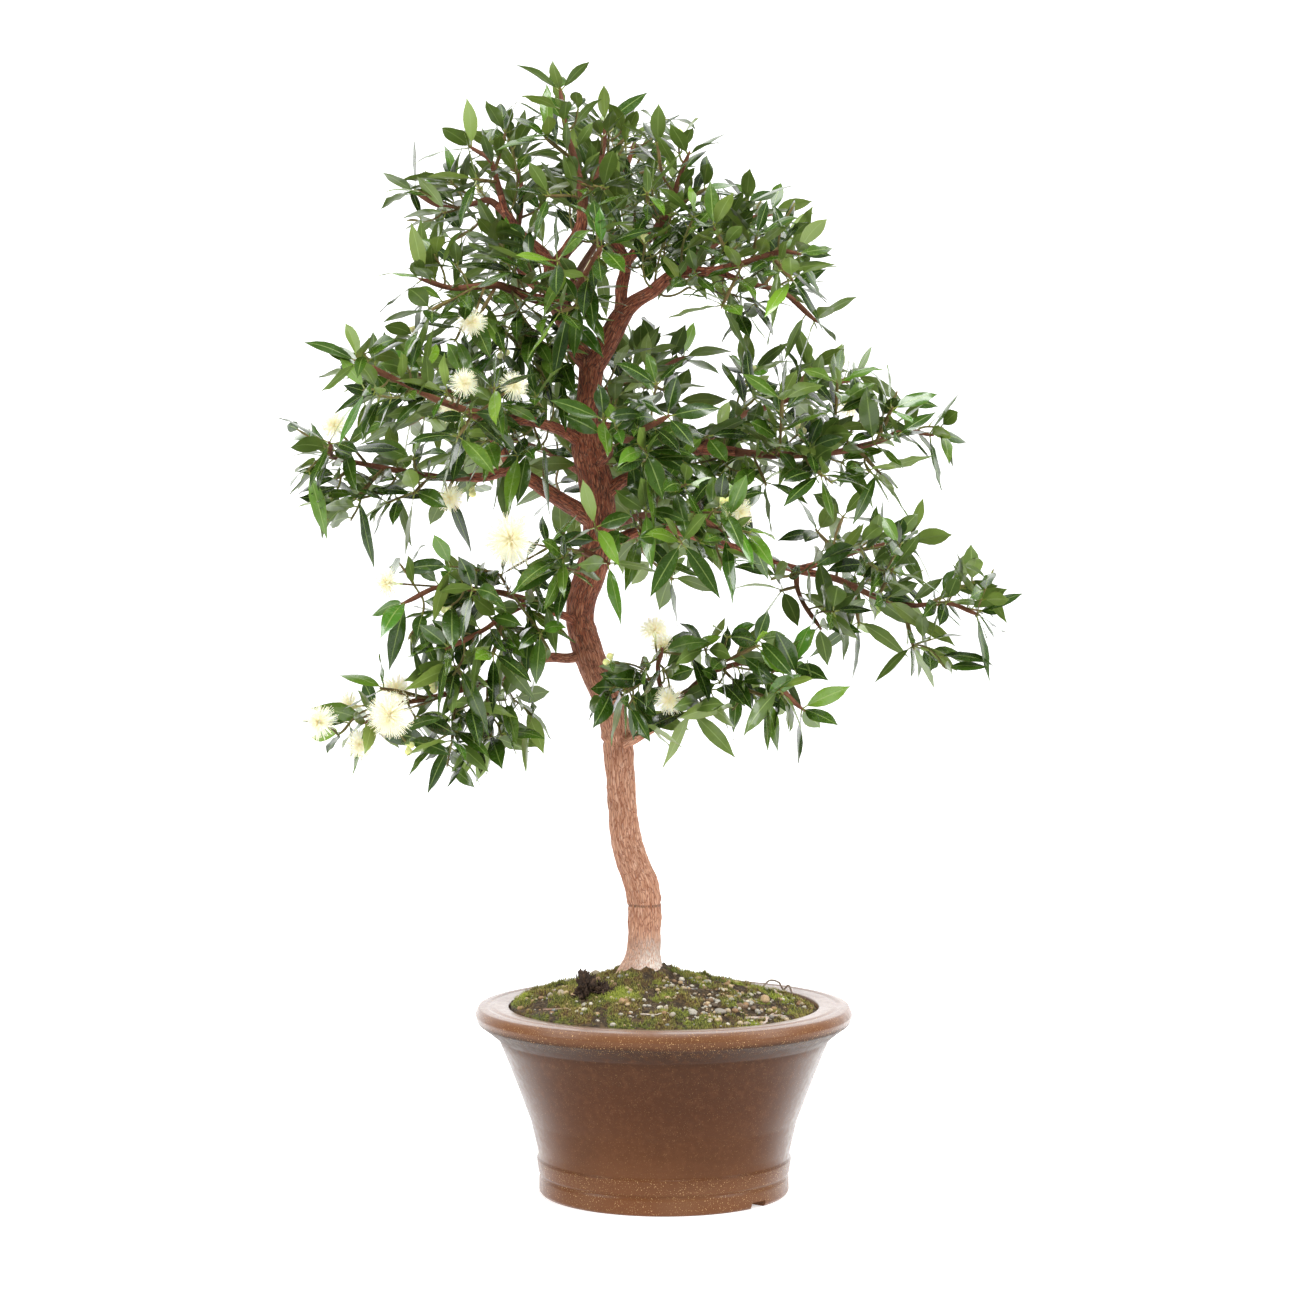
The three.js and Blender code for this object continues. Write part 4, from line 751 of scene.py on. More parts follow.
def smooth(points, radii, step):
    """A smooth curve through the points, with the index that each point gets on it."""
    points = np.array(points, float)
    radii = np.array(radii, float)
    gaps = np.linalg.norm(np.diff(points, axis=0), axis=1)
    values = np.column_stack([points, radii])
    slopes = np.diff(values, axis=0) / gaps[:, None]
    tangents = np.empty_like(values)
    tangents[0], tangents[-1] = slopes[0], slopes[-1]
    before, after = gaps[:-1, None], gaps[1:, None]
    tangents[1:-1] = (slopes[1:] * before + slopes[:-1] * after) / (before + after)
    rows, index = [values[:1]], [0]
    for i, gap in enumerate(gaps):
        count = max(1, int(round(gap / step)))
        t = (np.arange(1, count + 1) / count)[:, None]
        part = (2 * t**3 - 3 * t**2 + 1) * values[i] + (t**3 - 2 * t**2 + t) * gap * tangents[i]
        part = part + (3 * t**2 - 2 * t**3) * values[i + 1] + (t**3 - t**2) * gap * tangents[i + 1]
        rows.append(part)
        index.append(index[-1] + count)
    rows = np.concatenate(rows)
    return rows[:, :3], np.maximum(rows[:, 3], radii.min() * 0.8), index


def set_curve(stem):
    """Gives a planned stem its smooth centre line, from inside its parent to its tip."""
    points = [section["centre"] for section in stem["sections"]]
    radii = [section["radius"] for section in stem["sections"]]
    if "root" in stem:
        points.insert(0, stem["root"])
        radii.insert(0, radii[0] * 1.3)
    if not stem["blunt"]:
        last = stem["sections"][-1]
        points.append(last["centre"] + last["tangent"] * (last.get("half", 0) + 2.4))
        radii.append(last["radius"] * 0.55)
    wood_points, wood_radii = stem.get("wood", (points[:1], radii[:1]))
    stem["curve"], stem["thick"], index = smooth(wood_points + points[1:], wood_radii + radii[1:], FINE_STEP)
    stem["first"] = index[len(wood_points) - 1]


def front_view(rows):
    """Where points show in the front view, in the plane of the pot's middle."""
    near = VIEW_DISTANCE / (VIEW_DISTANCE + rows[:, 1])
    return rows[:, 0] * near, VIEW_HEIGHT + (rows[:, 2] - VIEW_HEIGHT) * near


def behind_view(x, y, z):
    """The point at depth y that shows at x and z in the front view."""
    far = (VIEW_DISTANCE + y) / VIEW_DISTANCE
    return vec(x * far, y, VIEW_HEIGHT + (z - VIEW_HEIGHT) * far)


def fits_view(rows):
    """True when the points show inside the crown's outline, off its open places and off the bare trunk."""
    x, z = front_view(rows)
    inside = np.zeros(len(rows), bool)
    for (ax, az), (bx, bz) in zip(CROWN_OUTLINE, CROWN_OUTLINE[1:] + CROWN_OUTLINE[:1]):
        if az != bz:
            inside ^= ((az > z) != (bz > z)) & (x < (bx - ax) * (z - az) / (bz - az) + ax)
    for middle_x, middle_z, wide, high in OPEN_PLACES:
        inside &= ((x - middle_x) / wide) ** 2 + ((z - middle_z) / high) ** 2 > 1
    trunk = np.array(LIMBS["trunk"])
    away = np.abs(x - np.interp(z, trunk[:, 2], trunk[:, 0]))
    bare = np.any([(z > low) & (z < high) for low, high in BARE_TRUNK], axis=0)
    return bool(inside.all()) and not ((away < TRUNK_HALF) & (rows[:, 1] < 0) & bare).any()


def fine_leaf(place, side, tangent, draw, owner, scale, centre):
    """A leaf between the planned ones, where the front view has room for it."""
    leaf = plan_leaf(place, side, tangent, draw, owner, centre, FINE_CLEARANCE, scale)
    if leaf is None or not fits_view(leaf_samples(leaf)[0]):
        return None
    leaf["width"] *= 1.06 - 0.24 * min(max((place[2] - 660) / 200, 0), 1)
    leaf["arch"] = 0.2
    return leaf


def side_shoot(end, point, radius, tangent, normal, draw, owner, length, aim=None):
    """Adds a small side shoot with some pairs of leaves to the limb's end, if there is room for it."""
    if aim is None:
        outward = unit(point - CROWN_MIDDLE)
        aim = unit(normal * 0.9 + tangent * 0.45 + outward * 0.35 + UP * (0.1 + 0.25 * draw()))
    start = point + normal * radius * 0.7
    tip = start + aim * length
    curve = bent(start, start + normal * (length * 0.4), tip, np.linspace(0, 1, 5))
    has_room = (
        fits_view(curve[2:]) and wood_check.is_clear(curve[1:], WOOD_CLEARANCE)
        and is_clear_of_blooms(curve[1:]) and is_clear(curve[2], SHOOT_CLEARANCE, end["name"])
        and all(is_clear(p, SHOOT_CLEARANCE, "") for p in curve[3:])
    )
    if not has_room:
        return None
    line = Line(curve, [1.1, 1.0, 0.95, 0.9, 0.85])
    _, u, v = turned((normal, tangent, cross(normal, tangent)), unit(curve[-1] - curve[-2]))
    last = line.length - 1
    stops = [(last, side) for side in (u, -u, v, -v)]
    distance, turn = line.length - 12, 0
    while distance > 9:
        across = (u, v)[turn % 2]
        stops += [(distance, across), (distance, -across)]
        distance -= 10 + 4 * draw()
        turn += 1
    leaves = []
    for distance, side in stops:
        place, thin, direction = line.at(distance)
        scale = 0.74 + 0.36 * draw()
        leaf = fine_leaf(place + side * thin * 0.7, side, direction, draw, owner, scale, place)
        if leaf:
            leaf["at_tip"] = distance == last
            leaves.append(leaf)
    if len(leaves) < 2:
        return None
    for p in curve[1:]:
        block(p, 0.9, owner)
    end["leaves"] += leaves
    full, thick, _ = smooth([point, *curve, tip + aim * 2], [1.6, *line.radii, 0.5], FINE_STEP)
    return {"curve": full, "thick": thick, "first": 0, "joints": [], "small": True, "tip": tip, "aim": aim}


def nearest_starts(starts, target, count):
    """The stem points nearest to a target, but not too near, some way from one another."""
    away = np.array([size(target - stem["curve"][i]) for stem, i in starts])
    away = np.where(away < 20, away + 60, away)
    chosen = []
    for k in np.argsort(away, kind="stable"):
        if all(abs(int(k) - other) > 3 for other in chosen):
            chosen.append(int(k))
        if len(chosen) == count:
            break
    return [starts[k] for k in chosen]


def grow_towards(end, draw):
    """Leafy shoots from the nearest stems into the places that are full in the front view."""
    for stem in end["stems"] + [plan["stem"] for plan in end["blooms"]]:
        set_curve(stem)
    starts = [(stem, i) for stem in end["stems"] for i in range(stem["first"] + 1, len(stem["curve"]) - 1)]
    added = []
    for number, place in enumerate(FULL_PLACES.get(end["name"], ())):
        target = behind_view(*place)
        for stem, i in nearest_starts(starts, target, 3):
            point, tangent = stem["curve"][i], unit(stem["curve"][i + 1] - stem["curve"][i - 1])
            away = target - point
            normal = away - tangent * (tangent @ away)
            if size(normal) < 4:
                continue
            owner = f"{end['name']} towards {number}"
            stop = (point, stem["thick"][i], tangent, unit(normal))
            shoot = side_shoot(end, *stop, draw, owner, size(away), unit(away))
            if shoot:
                added.append(shoot)
                break
    end["stems"] += added


def add_blooms(end):
    """Blooms beside the planned ones, each on a thin stalk from the nearest stem."""
    starts = [(stem, i) for stem in end["stems"] for i in range(len(stem["curve"]))]
    for *place, diameter in MORE_BLOOMS.get(end["name"], ()):
        centre = behind_view(*place)
        stem, i = nearest_starts(starts, centre, 1)[0]
        start = stem["curve"][i]
        reach = centre - start
        tip = start + reach * max(0.3, 1 - (diameter * 0.3 + 4) / size(reach))
        curve, thick, _ = smooth([start, (start + tip) / 2 + UP * 2, tip], [1.1, 1, 1], FINE_STEP)
        stalk = {"curve": curve, "thick": thick, "first": 0, "small": True}
        plan = {"start": tip, "centre": centre, "diameter": diameter, "stem": stalk, "added": True}
        end["blooms"].append(plan)
        bloom_balls.append(plan)


def grow_between(end, draw):
    """Leaf pairs and small side shoots in the places between the planned joints."""
    added = []
    for s, stem in enumerate(end["stems"]):
        if stem.get("small"):
            continue
        first = stem["first"]
        line = Line(stem["curve"][first:], stem["thick"][first:])
        taken = []
        for joint in stem["joints"]:
            nearest = np.linalg.norm(np.array(line.points) - joint["centre"], axis=1).argmin()
            taken.append(line.reached[nearest])
        frame = first_frame(line.at(0)[2])
        distance = 11 if s else 9
        turn = 0
        while distance < line.length - 9:
            point, radius, tangent = line.at(distance)
            frame = turned(frame, tangent)
            if any(abs(distance - other) <= JOINT_GAP for other in taken):
                distance += 3
                continue
            owner = f"{end['name']} {s} between {round(distance)}"
            for sign in (1, -1):
                normal = frame[1 + turn % 2] * sign
                if not s and draw() < SHOOTS_BETWEEN:
                    shoot = side_shoot(end, point, radius, tangent, normal, draw, owner, 16 + 26 * draw())
                    if shoot:
                        added.append(shoot)
                        continue
                scale = 0.7 + 0.4 * draw()
                leaf = fine_leaf(point + normal * radius * 0.8, normal, tangent, draw, owner, scale, point)
                if leaf:
                    end["leaves"].append(leaf)
            turn += 1
            distance += 7 + 7 * draw()
    end["stems"] += added


def grow_inside(end, draw):
    """Leafy shoots on the outer stretch of the limb's bare wood."""
    stem = end["stems"][0]
    line = Line(stem["curve"][: stem["first"] + 1], stem["thick"][: stem["first"] + 1])
    distance = line.length * 0.42
    frame = first_frame(line.at(distance)[2])
    while distance < line.length - 5:
        point, radius, tangent = line.at(distance)
        frame = turned(frame, tangent)
        turn = draw() * FULL_TURN
        for angle in (turn, turn + 2.2, turn + 4.2):
            normal = around(frame[1], frame[2], angle)
            if radius < SHOOT_BEARING and draw() < SHOOTS_INSIDE:
                owner = f"{end['name']} inside {round(distance)} {round(angle, 1)}"
                shoot = side_shoot(end, point, radius, tangent, normal, draw, owner, 26 + 34 * draw())
                if shoot:
                    end["stems"].append(shoot)
        distance += 10 + 8 * draw()


# Meshes.

class Cloth:
    """A mesh under construction: points, faces and named values for each point or each face."""

    def __init__(self):
        self.points, self.faces, self.point_values, self.face_values = [], [], {}, {}
        self.count = 0

    def add(self, points, faces, face_values=None, **point_values):
        points = np.asarray(points, float).reshape(-1, 3)
        self.points.append(points)
        self.faces += [[i + self.count for i in face] for face in faces]
        for name, values in point_values.items():
            values = np.asarray(values, float)
            if values.ndim == 1:
                values = np.tile(values, (len(points), 1))
            self.point_values.setdefault(name, []).append(values)
        for name, values in (face_values or {}).items():
            values = np.broadcast_to(np.asarray(values, float), len(faces))
            self.face_values.setdefault(name, []).append(values)
        self.count += len(points)

    def make(self, name, material, replaces=(), sharp=None):
        mesh = bpy.data.meshes.new(name)
        mesh.from_pydata((np.concatenate(self.points) * 0.001).tolist(), [], self.faces)
        for key, values in self.point_values.items():
            layer = mesh.attributes.new(key, "FLOAT_VECTOR", "POINT")
            layer.data.foreach_set("vector", np.concatenate(values).astype(np.float32).ravel())
        for key, values in self.face_values.items():
            layer = mesh.attributes.new(key, "FLOAT", "FACE")
            layer.data.foreach_set("value", np.concatenate(values).astype(np.float32))
        piece = placed(name, mesh, material)
        if sharp:
            mesh.set_sharp_from_angle(angle=math.radians(sharp))
        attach(piece, "root")
        if replaces:
            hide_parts(*replaces)


def placed(name, mesh, material, is_smooth=True):
    """An object of the mesh in the scene."""
    mesh.materials.append(material)
    mesh.polygons.foreach_set("use_smooth", [is_smooth] * len(mesh.polygons))
    mesh.update()
    piece = bpy.data.objects.new(name, mesh)
    bpy.context.scene.collection.objects.link(piece)
    return piece


def grid_faces(rows, columns, closed=False):
    """The four-cornered faces of a grid of points; closed joins the last column to the first."""
    faces = []
    for r in range(rows - 1):
        for c in range(columns if closed else columns - 1):
            d = (c + 1) % columns
            faces.append([r * columns + c, r * columns + d, (r + 1) * columns + d, (r + 1) * columns + c])
    return faces


def fan_faces(middle, start, count, flip=False):
    """Triangles from a middle point to the ring of points that begins at start."""
    ring = [(start + k, start + (k + 1) % count) for k in range(count)]
    return [[middle, b, a] if flip else [middle, a, b] for a, b in ring]


def rings(curve, sides):
    """The directions from each point of a curve to the points of a ring round it, and their angles."""
    tangents = units(np.gradient(curve, axis=0))
    frame = first_frame(tangents[0])
    us, vs = [], []
    for tangent in tangents:
        frame = turned(frame, tangent)
        us.append(frame[1])
        vs.append(frame[2])
    us, vs = np.array(us)[:, None, :], np.array(vs)[:, None, :]
    angles = np.arange(sides) * (FULL_TURN / sides)
    return us * np.cos(angles)[None, :, None] + vs * np.sin(angles)[None, :, None], angles


def tube_form(curve, thick, sides, shape=None, seed=0):
    """A round closed tube's points, faces and grain. shape(grain, angles, distances) gives what is added to
    the radius."""
    out, angles = rings(curve, sides)
    steps = np.linalg.norm(np.diff(curve, axis=0), axis=1)
    reached = np.concatenate([[0], np.cumsum(steps)])
    grain = np.empty((len(curve), sides, 3))
    grain[..., 0] = thick[:, None] * np.cos(angles) + seed * 37.1
    grain[..., 1] = thick[:, None] * np.sin(angles)
    grain[..., 2] = reached[:, None] + seed * 11.3
    radius = np.repeat(thick[:, None], sides, axis=1)
    if shape:
        radius = radius + shape(grain.reshape(-1, 3), angles, reached).reshape(len(curve), sides)
    points = curve[:, None, :] + out * radius[..., None]
    last = len(curve) * sides
    faces = grid_faces(len(curve), sides, closed=True)
    faces += fan_faces(last, 0, sides, flip=True) + fan_faces(last + 1, last - sides, sides)
    grain = np.concatenate([grain.reshape(-1, 3), grain[0, :1], grain[-1, :1]])
    return np.concatenate([points.reshape(-1, 3), curve[:1], curve[-1:]]), faces, grain


def tube(cloth, curve, thick, sides, shape, kind, seed):
    points, faces, grain = tube_form(curve, thick, sides, shape, seed)
    cloth.add(points, faces, grain=grain, kind=kind)


THREAD_SIDES = 3
THREAD_FACES = grid_faces(3, THREAD_SIDES, closed=True) + [[2, 1, 0], [6, 7, 8]]


def thread(curve, thick):
    """The points and faces of a three-sided thread through three points."""
    out, _ = rings(curve, THREAD_SIDES)
    return curve[:, None, :] + out * np.array(thick)[:, None, None], THREAD_FACES


# Leaves: each blade is a closed shell of two curved faces that meet at its edge.

BLADE_SHARES = np.array([0, 0.06, 0.17, 0.32, 0.48, 0.64, 0.79, 0.91, 1.0])
BLADE_HALF = np.array([0.04, 0.28, 0.64, 0.92, 1.0, 0.87, 0.56, 0.2, 0.012])
BLADE_WIDER = 0.98
BLADE_ACROSS = np.array([-1, -0.55, 0, 0.55, 1])
BLADE_THICKNESS = 0.4
BLADE_ROWS, BLADE_COLUMNS = len(BLADE_SHARES), len(BLADE_ACROSS)


def blade_faces():
    """The faces of a blade's upper side, and those of its under side, whose inner points come after."""
    above = grid_faces(BLADE_ROWS, BLADE_COLUMNS)
    under = np.arange(BLADE_ROWS * BLADE_COLUMNS).reshape(BLADE_ROWS, BLADE_COLUMNS)
    inner = under[1:-1, 1:-1]
    inner[:] = under.size + np.arange(inner.size).reshape(inner.shape)
    under = under.ravel().tolist()
    return above + [[under[face[i]] for i in (0, 3, 2, 1)] for face in above]


BLADE_FACES = blade_faces()
UNDER_VALUES = np.repeat([0.0, 1.0], len(BLADE_FACES) // 2)


def leaf_blade(cloth, leaf, draw):
    length, width, forward, droop = leaf["length"], leaf["width"], leaf["forward"], leaf["droop"]
    stalk = 4.2 / length
    share = stalk + (1 - stalk) * BLADE_SHARES
    rib = leaf["base"] + np.outer(share * length, forward) - np.outer(droop * length * share**2, UP)
    along = units(forward - np.outer(2 * droop * share, UP))
    side = np.tile(leaf["side"], (BLADE_ROWS, 1))
    face = units(np.cross(along, side))
    twist = (draw() - 0.5) * 1.1 * (BLADE_SHARES - 0.35)
    cos, sin = np.cos(twist)[:, None], np.sin(twist)[:, None]
    side, face = side * cos + face * sin, face * cos - side * sin
    fold = 0.06 + 0.3 * draw() ** 2
    wave = 0.07 * draw() * width
    turns, phase = 1.2 + 1.4 * draw(), draw() * 6.28
    hook = (draw() - 0.25) * leaf["arch"] * length
    sway = (draw() - 0.5) * 0.09 * length
    rib = rib - face * (hook * BLADE_SHARES**3)[:, None] + side * (sway * BLADE_SHARES**2)[:, None]
    half = (width * 0.5 * BLADE_WIDER * BLADE_HALF)[:, None]
    across = BLADE_ACROSS[None, :]
    lift = half * np.abs(across) * fold - 0.16 * half * np.abs(across) ** 3
    lift = lift + wave * np.sin(turns * FULL_TURN * BLADE_SHARES + phase)[:, None] * across**2
    out = half * across * math.cos(fold)
    top = rib[:, None, :] + side[:, None, :] * out[..., None] + face[:, None, :] * lift[..., None]
    inner = top[1:-1, 1:-1] - face[1:-1, None, :] * BLADE_THICKNESS
    tone = draw()
    blade = np.empty((BLADE_ROWS, BLADE_COLUMNS, 3))
    blade[..., 0] = across
    blade[..., 1] = (share * length / LEAF_LENGTH)[:, None]
    blade[..., 2] = tone
    both = [np.concatenate([outer.reshape(-1, 3), within.reshape(-1, 3)])
            for outer, within in ((top, inner), (blade, blade[1:-1, 1:-1]))]
    growth = (leaf["young"], draw(), 0)
    cloth.add(both[0], BLADE_FACES, {"under": UNDER_VALUES}, blade=both[1], growth=growth)
    stalk_curve = np.array([leaf["centre"], rib[0], rib[1]])
    growth = (leaf["young"], 0.5, 1)
    cloth.add(*thread(stalk_curve, [0.8, 0.66, 0.3]), {"under": 0.0}, blade=(0, 0, tone), growth=growth)


# Blooms and buds. The first value of a part tells thread, cup, anther and bud apart. The sizes are those of
# small and of large blooms.

THREAD, CUP, ANTHER, BUD = range(4)
LARGE_BLOOM = 35
STAMENS = (320, 820)
PETAL_REACH = (3.4, 4.4)
CUP_SCALE = (1, 1.25)
MORE_BUDS = 14
GOLDEN_ANGLE = 2.39996


def bloom(cloth, plan, draw):
    """A cup with four petals on its stalk and a ball of fine stamens."""
    centre, diameter, start = plan["centre"], plan["diameter"], plan["start"]
    is_large = diameter >= LARGE_BLOOM
    aim, reach, core = unit(centre - start), size(centre - start), diameter * 0.1
    heights = np.array([-2.0, 0, reach * 0.3, reach - core * 2.2 - 1, reach - core * 1.2, reach - core * 0.3])
    thick = np.array([0.9, 0.95, 1.0, 1.5, 2.6, 3.1]) * CUP_SCALE[is_large]
    cup = start + np.outer(heights, aim)
    points, faces, _ = tube_form(*smooth(cup, thick, 1.2)[:2], 10)
    cloth.add(points, faces, part=(CUP, 0, 0))
    base = centre - aim * core * 0.5
    _, u, v = first_frame(aim)
    for k in range(4):
        out = around(u, v, k * math.pi / 2 + 0.4)
        petal(cloth, cup[-1] + out * 2.6, out, aim, PETAL_REACH[is_large])
    count = STAMENS[is_large]
    shares = np.linspace(0, 1, 3)
    for i in range(count):
        height = 1 - (i + 0.5) * 1.55 / count
        turn = i * GOLDEN_ANGLE + draw() * 0.5
        flat = math.sqrt(max(0, 1 - height * height))
        direction = aim * height + around(u, v, turn) * flat
        direction = unit(direction + vec(draw() - 0.5, draw() - 0.5, draw() - 0.5) * 0.25)
        reach = diameter / 2 * (0.72 + 0.3 * draw())
        bend = vec(draw() - 0.5, draw() - 0.5, draw() - 0.6) * reach * 0.4
        root = base + direction * core * 0.4
        middle = base + direction * reach * 0.45 + aim * reach * 0.12
        curve = bent(root, middle, base + direction * reach, shares)
        curve = curve + bend * (shares**2 * (1.2 - shares))[:, None]
        part = np.column_stack([np.full(9, THREAD), np.repeat(shares, THREAD_SIDES), np.full(9, draw())])
        cloth.add(*thread(curve, [0.33, 0.26, 0.16]), part=part)
        anther(cloth, curve[-1], unit(curve[-1] - curve[-2]), draw)


def anther(cloth, place, direction, draw):
    _, u, v = first_frame(direction)
    ends = [u * 0.36, v * 0.36, -u * 0.36, -v * 0.36, direction * 0.45, -direction * 0.45]
    faces = [[k, (k + 1) % 4, 4] for k in range(4)] + [[(k + 1) % 4, k, 5] for k in range(4)]
    cloth.add(place + np.array(ends), faces, part=(ANTHER, 1, draw()))


def petal(cloth, place, out, aim, reach):
    """A small round cupped petal."""
    side = cross(aim, out)
    lines = 5
    along, across = np.meshgrid(np.linspace(0, 1, lines), np.linspace(-1, 1, lines), indexing="ij")
    half = across * reach * 0.5 * (0.35 + 0.9 * np.sin(math.pi * (0.12 + along * 0.8)))
    lift = 0.35 * reach * along**2 + 0.2 * reach * across**2
    shifts = ((out, along * reach * 0.85), (side, half), (aim, lift))
    top = place + sum(way * shift.reshape(-1, 1) for way, shift in shifts)
    count = len(top)
    under = grid_faces(lines, lines)
    faces = [face[::-1] for face in under] + [[i + count for i in face] for face in under]
    order = np.arange(count).reshape(lines, lines)
    ring = [*order[0], *order[1:, -1], *order[-1, -2::-1], *order[-2:0:-1, 0]]
    faces += [[int(i) for i in (a, b, b + count, a + count)] for a, b in zip(ring, ring[1:] + ring[:1])]
    cloth.add(np.concatenate([top, top - aim * 0.35]), faces, part=(THREAD, 0.6, 0.8))


def bud(cloth, place, aim, reach):
    """A pale green bud, pear-shaped, on a short stalk."""
    heights = np.array([-2, 1.2, 2.4, 3.6, 5.0, 6.4, 7.3, 7.9]) * reach / 8
    thick = np.array([0.7, 0.7, 1.3, 2.2, 2.9, 2.7, 1.7, 0.5]) * reach / 8
    points, faces, _ = tube_form(place + np.outer(heights, aim), thick, 9)
    cloth.add(points, faces, part=(BUD, 0, 0))


def make_buds(ends, bloom_cream, draw):
    """Pairs of buds at the tips of the shoots nearest to some places of the front view, and at a few more."""
    cloth = Cloth()
    shoots = [stem for end in ends for stem in end["stems"] if stem.get("small")]
    tips = np.array([stem["tip"] for stem in shoots])
    x, z = front_view(tips)
    chosen = [int(np.argmin(np.hypot(x - bx, z - bz) + 0.1 * tips[:, 1])) for bx, bz in BUD_PLACES]
    chosen += [int(draw() * len(shoots)) for _ in range(MORE_BUDS)]
    for k in dict.fromkeys(chosen):
        tip, aim = shoots[k]["tip"], shoots[k]["aim"]
        _, u, v = first_frame(aim)
        lean = unit(u * (draw() - 0.5) + v * (draw() - 0.5))
        for sign in (1, -1):
            bud(cloth, tip + aim * 1.5, unit(aim + lean * 0.75 * sign + UP * 0.2), 7.5 + 3 * draw())
    cloth.make("flower_buds", bloom_cream)


# Wood. Each kind of limb has more sides where it is thicker, as (radius, sides).

LIMB_SIDES = ((6.5, 22), (4, 16), (0, 12))
TWIG_SIDES = ((2.4, 10), (1.5, 8), (0, 6))
TRUNK_SCARS = ((105, 2.2, 0.9), (255, 3, 1.1), (287, 3, 0.9))


def sides_for(radius, steps):
    return next(sides for least, sides in steps if radius > least)


def bark_shape(depth):
    """Fibrous ridges that run along the limb, deeper on thick wood."""

    def shape(grain, *_):
        drift = noise(grain * 0.03, 5) * 5
        stretched = grain * np.array([0.34, 0.34, 0.06]) + drift[:, None] * np.array([0.12, 0.12, 0])
        ridges = 1 - 2 * np.abs(noise(stretched, 1))
        fine = noise(grain * np.array([0.9, 0.9, 0.16]), 2)
        return depth * (0.6 * ridges + 0.45 * fine + 0.75 * noise(grain * 0.09, 3))

    return shape


def trunk_shape(grain, angles, reached):
    """Roots that swell the trunk's foot, the bark, and the rings and scars of old branches."""
    swell = np.interp(angles, np.arange(11) * (FULL_TURN / 10), [*ROOT_SWELL, ROOT_SWELL[0]])
    bark = bark_shape(0.95)(grain).reshape(len(reached), len(angles))
    scar = sum(ring_scar(reached, *ring) for ring in TRUNK_SCARS)[:, None]
    reached = reached[:, None]
    roots = 24 * (swell - 1) * np.clip((72 - reached) / 30, 0, 1)
    left = np.maximum(0, -np.cos(angles))
    lobes = left + 0.35 * np.maximum(0, np.sin(angles * 3.5))
    flare = 5.0 * np.clip((54 - reached) / 16, 0, 1) ** 2 * lobes
    waist = -1.9 * np.exp(-(((reached - 58) / 12) ** 2)) * (1.25 - left)
    out_of_round = 0.35 * np.sin(angles * 2 + 0.02 * reached) + 0.3 * np.sin(angles * 3 - 0.013 * reached)
    return (roots + flare + waist + bark + out_of_round + scar).reshape(-1)


def ring_scar(reached, place, width, depth):
    away = (reached - place) / width
    return depth * (np.exp(-((away - 1) ** 2)) - 1.2 * np.exp(-(away**2) * 2))


def make_wood(ends, bark):
    cloth = Cloth()
    whole = (("trunk", 1.9, 84, trunk_shape), ("left_fork", 2, 48, bark_shape(0.75)))
    for i, (name, step, sides, shape) in enumerate(whole):
        curve, thick, _ = smooth(*limb_stops(name), step)
        tube(cloth, curve, thick, sides, shape, (1, 0, 0), i)
    for i, end in enumerate(ends):
        stem = end["stems"][0]
        curve, thick = stem["curve"][: stem["first"] + 1], stem["thick"][: stem["first"] + 1]
        shape = bark_shape(min(0.7, 0.11 * float(thick.mean())))
        tube(cloth, curve, thick, sides_for(thick[0], LIMB_SIDES), shape, (0.7, 0, 0), i + len(whole))
    cloth.make("tree_wood", bark, ["wood"])


def make_twigs(end, bark, i):
    """The leafy stems of one limb, woody where they are thick and green at their tips."""
    cloth = Cloth()
    for s, stem in enumerate(end["stems"] + [b["stem"] for b in end["blooms"]]):
        curve, thick = stem["curve"][stem["first"]:], stem["thick"][stem["first"]:]
        green = 0.75 if stem.get("small") else 0.45 if s else 0.1
        tube(cloth, curve, thick, sides_for(thick[0], TWIG_SIDES), bark_shape(0.1), (green, 1, 0), i * 7 + s)
    cloth.make(f"twigs_{end['name']}", bark)


# Pot.

def rounded(profile, reach):
    """The closed profile with each corner replaced by a short arc."""
    rows = []
    corners = [vec(*corner) for corner in profile]
    for a, b, c in zip(corners[-1:] + corners[:-1], corners, corners[1:] + corners[:1]):
        ab, bc = size(b - a), size(c - b)
        cut = min(reach, ab * 0.45, bc * 0.45)
        rows.append(bent(b + (a - b) / ab * cut, b, b + (c - b) / bc * cut, (0, 0.25, 0.5, 0.75, 1)))
    return np.concatenate(rows)


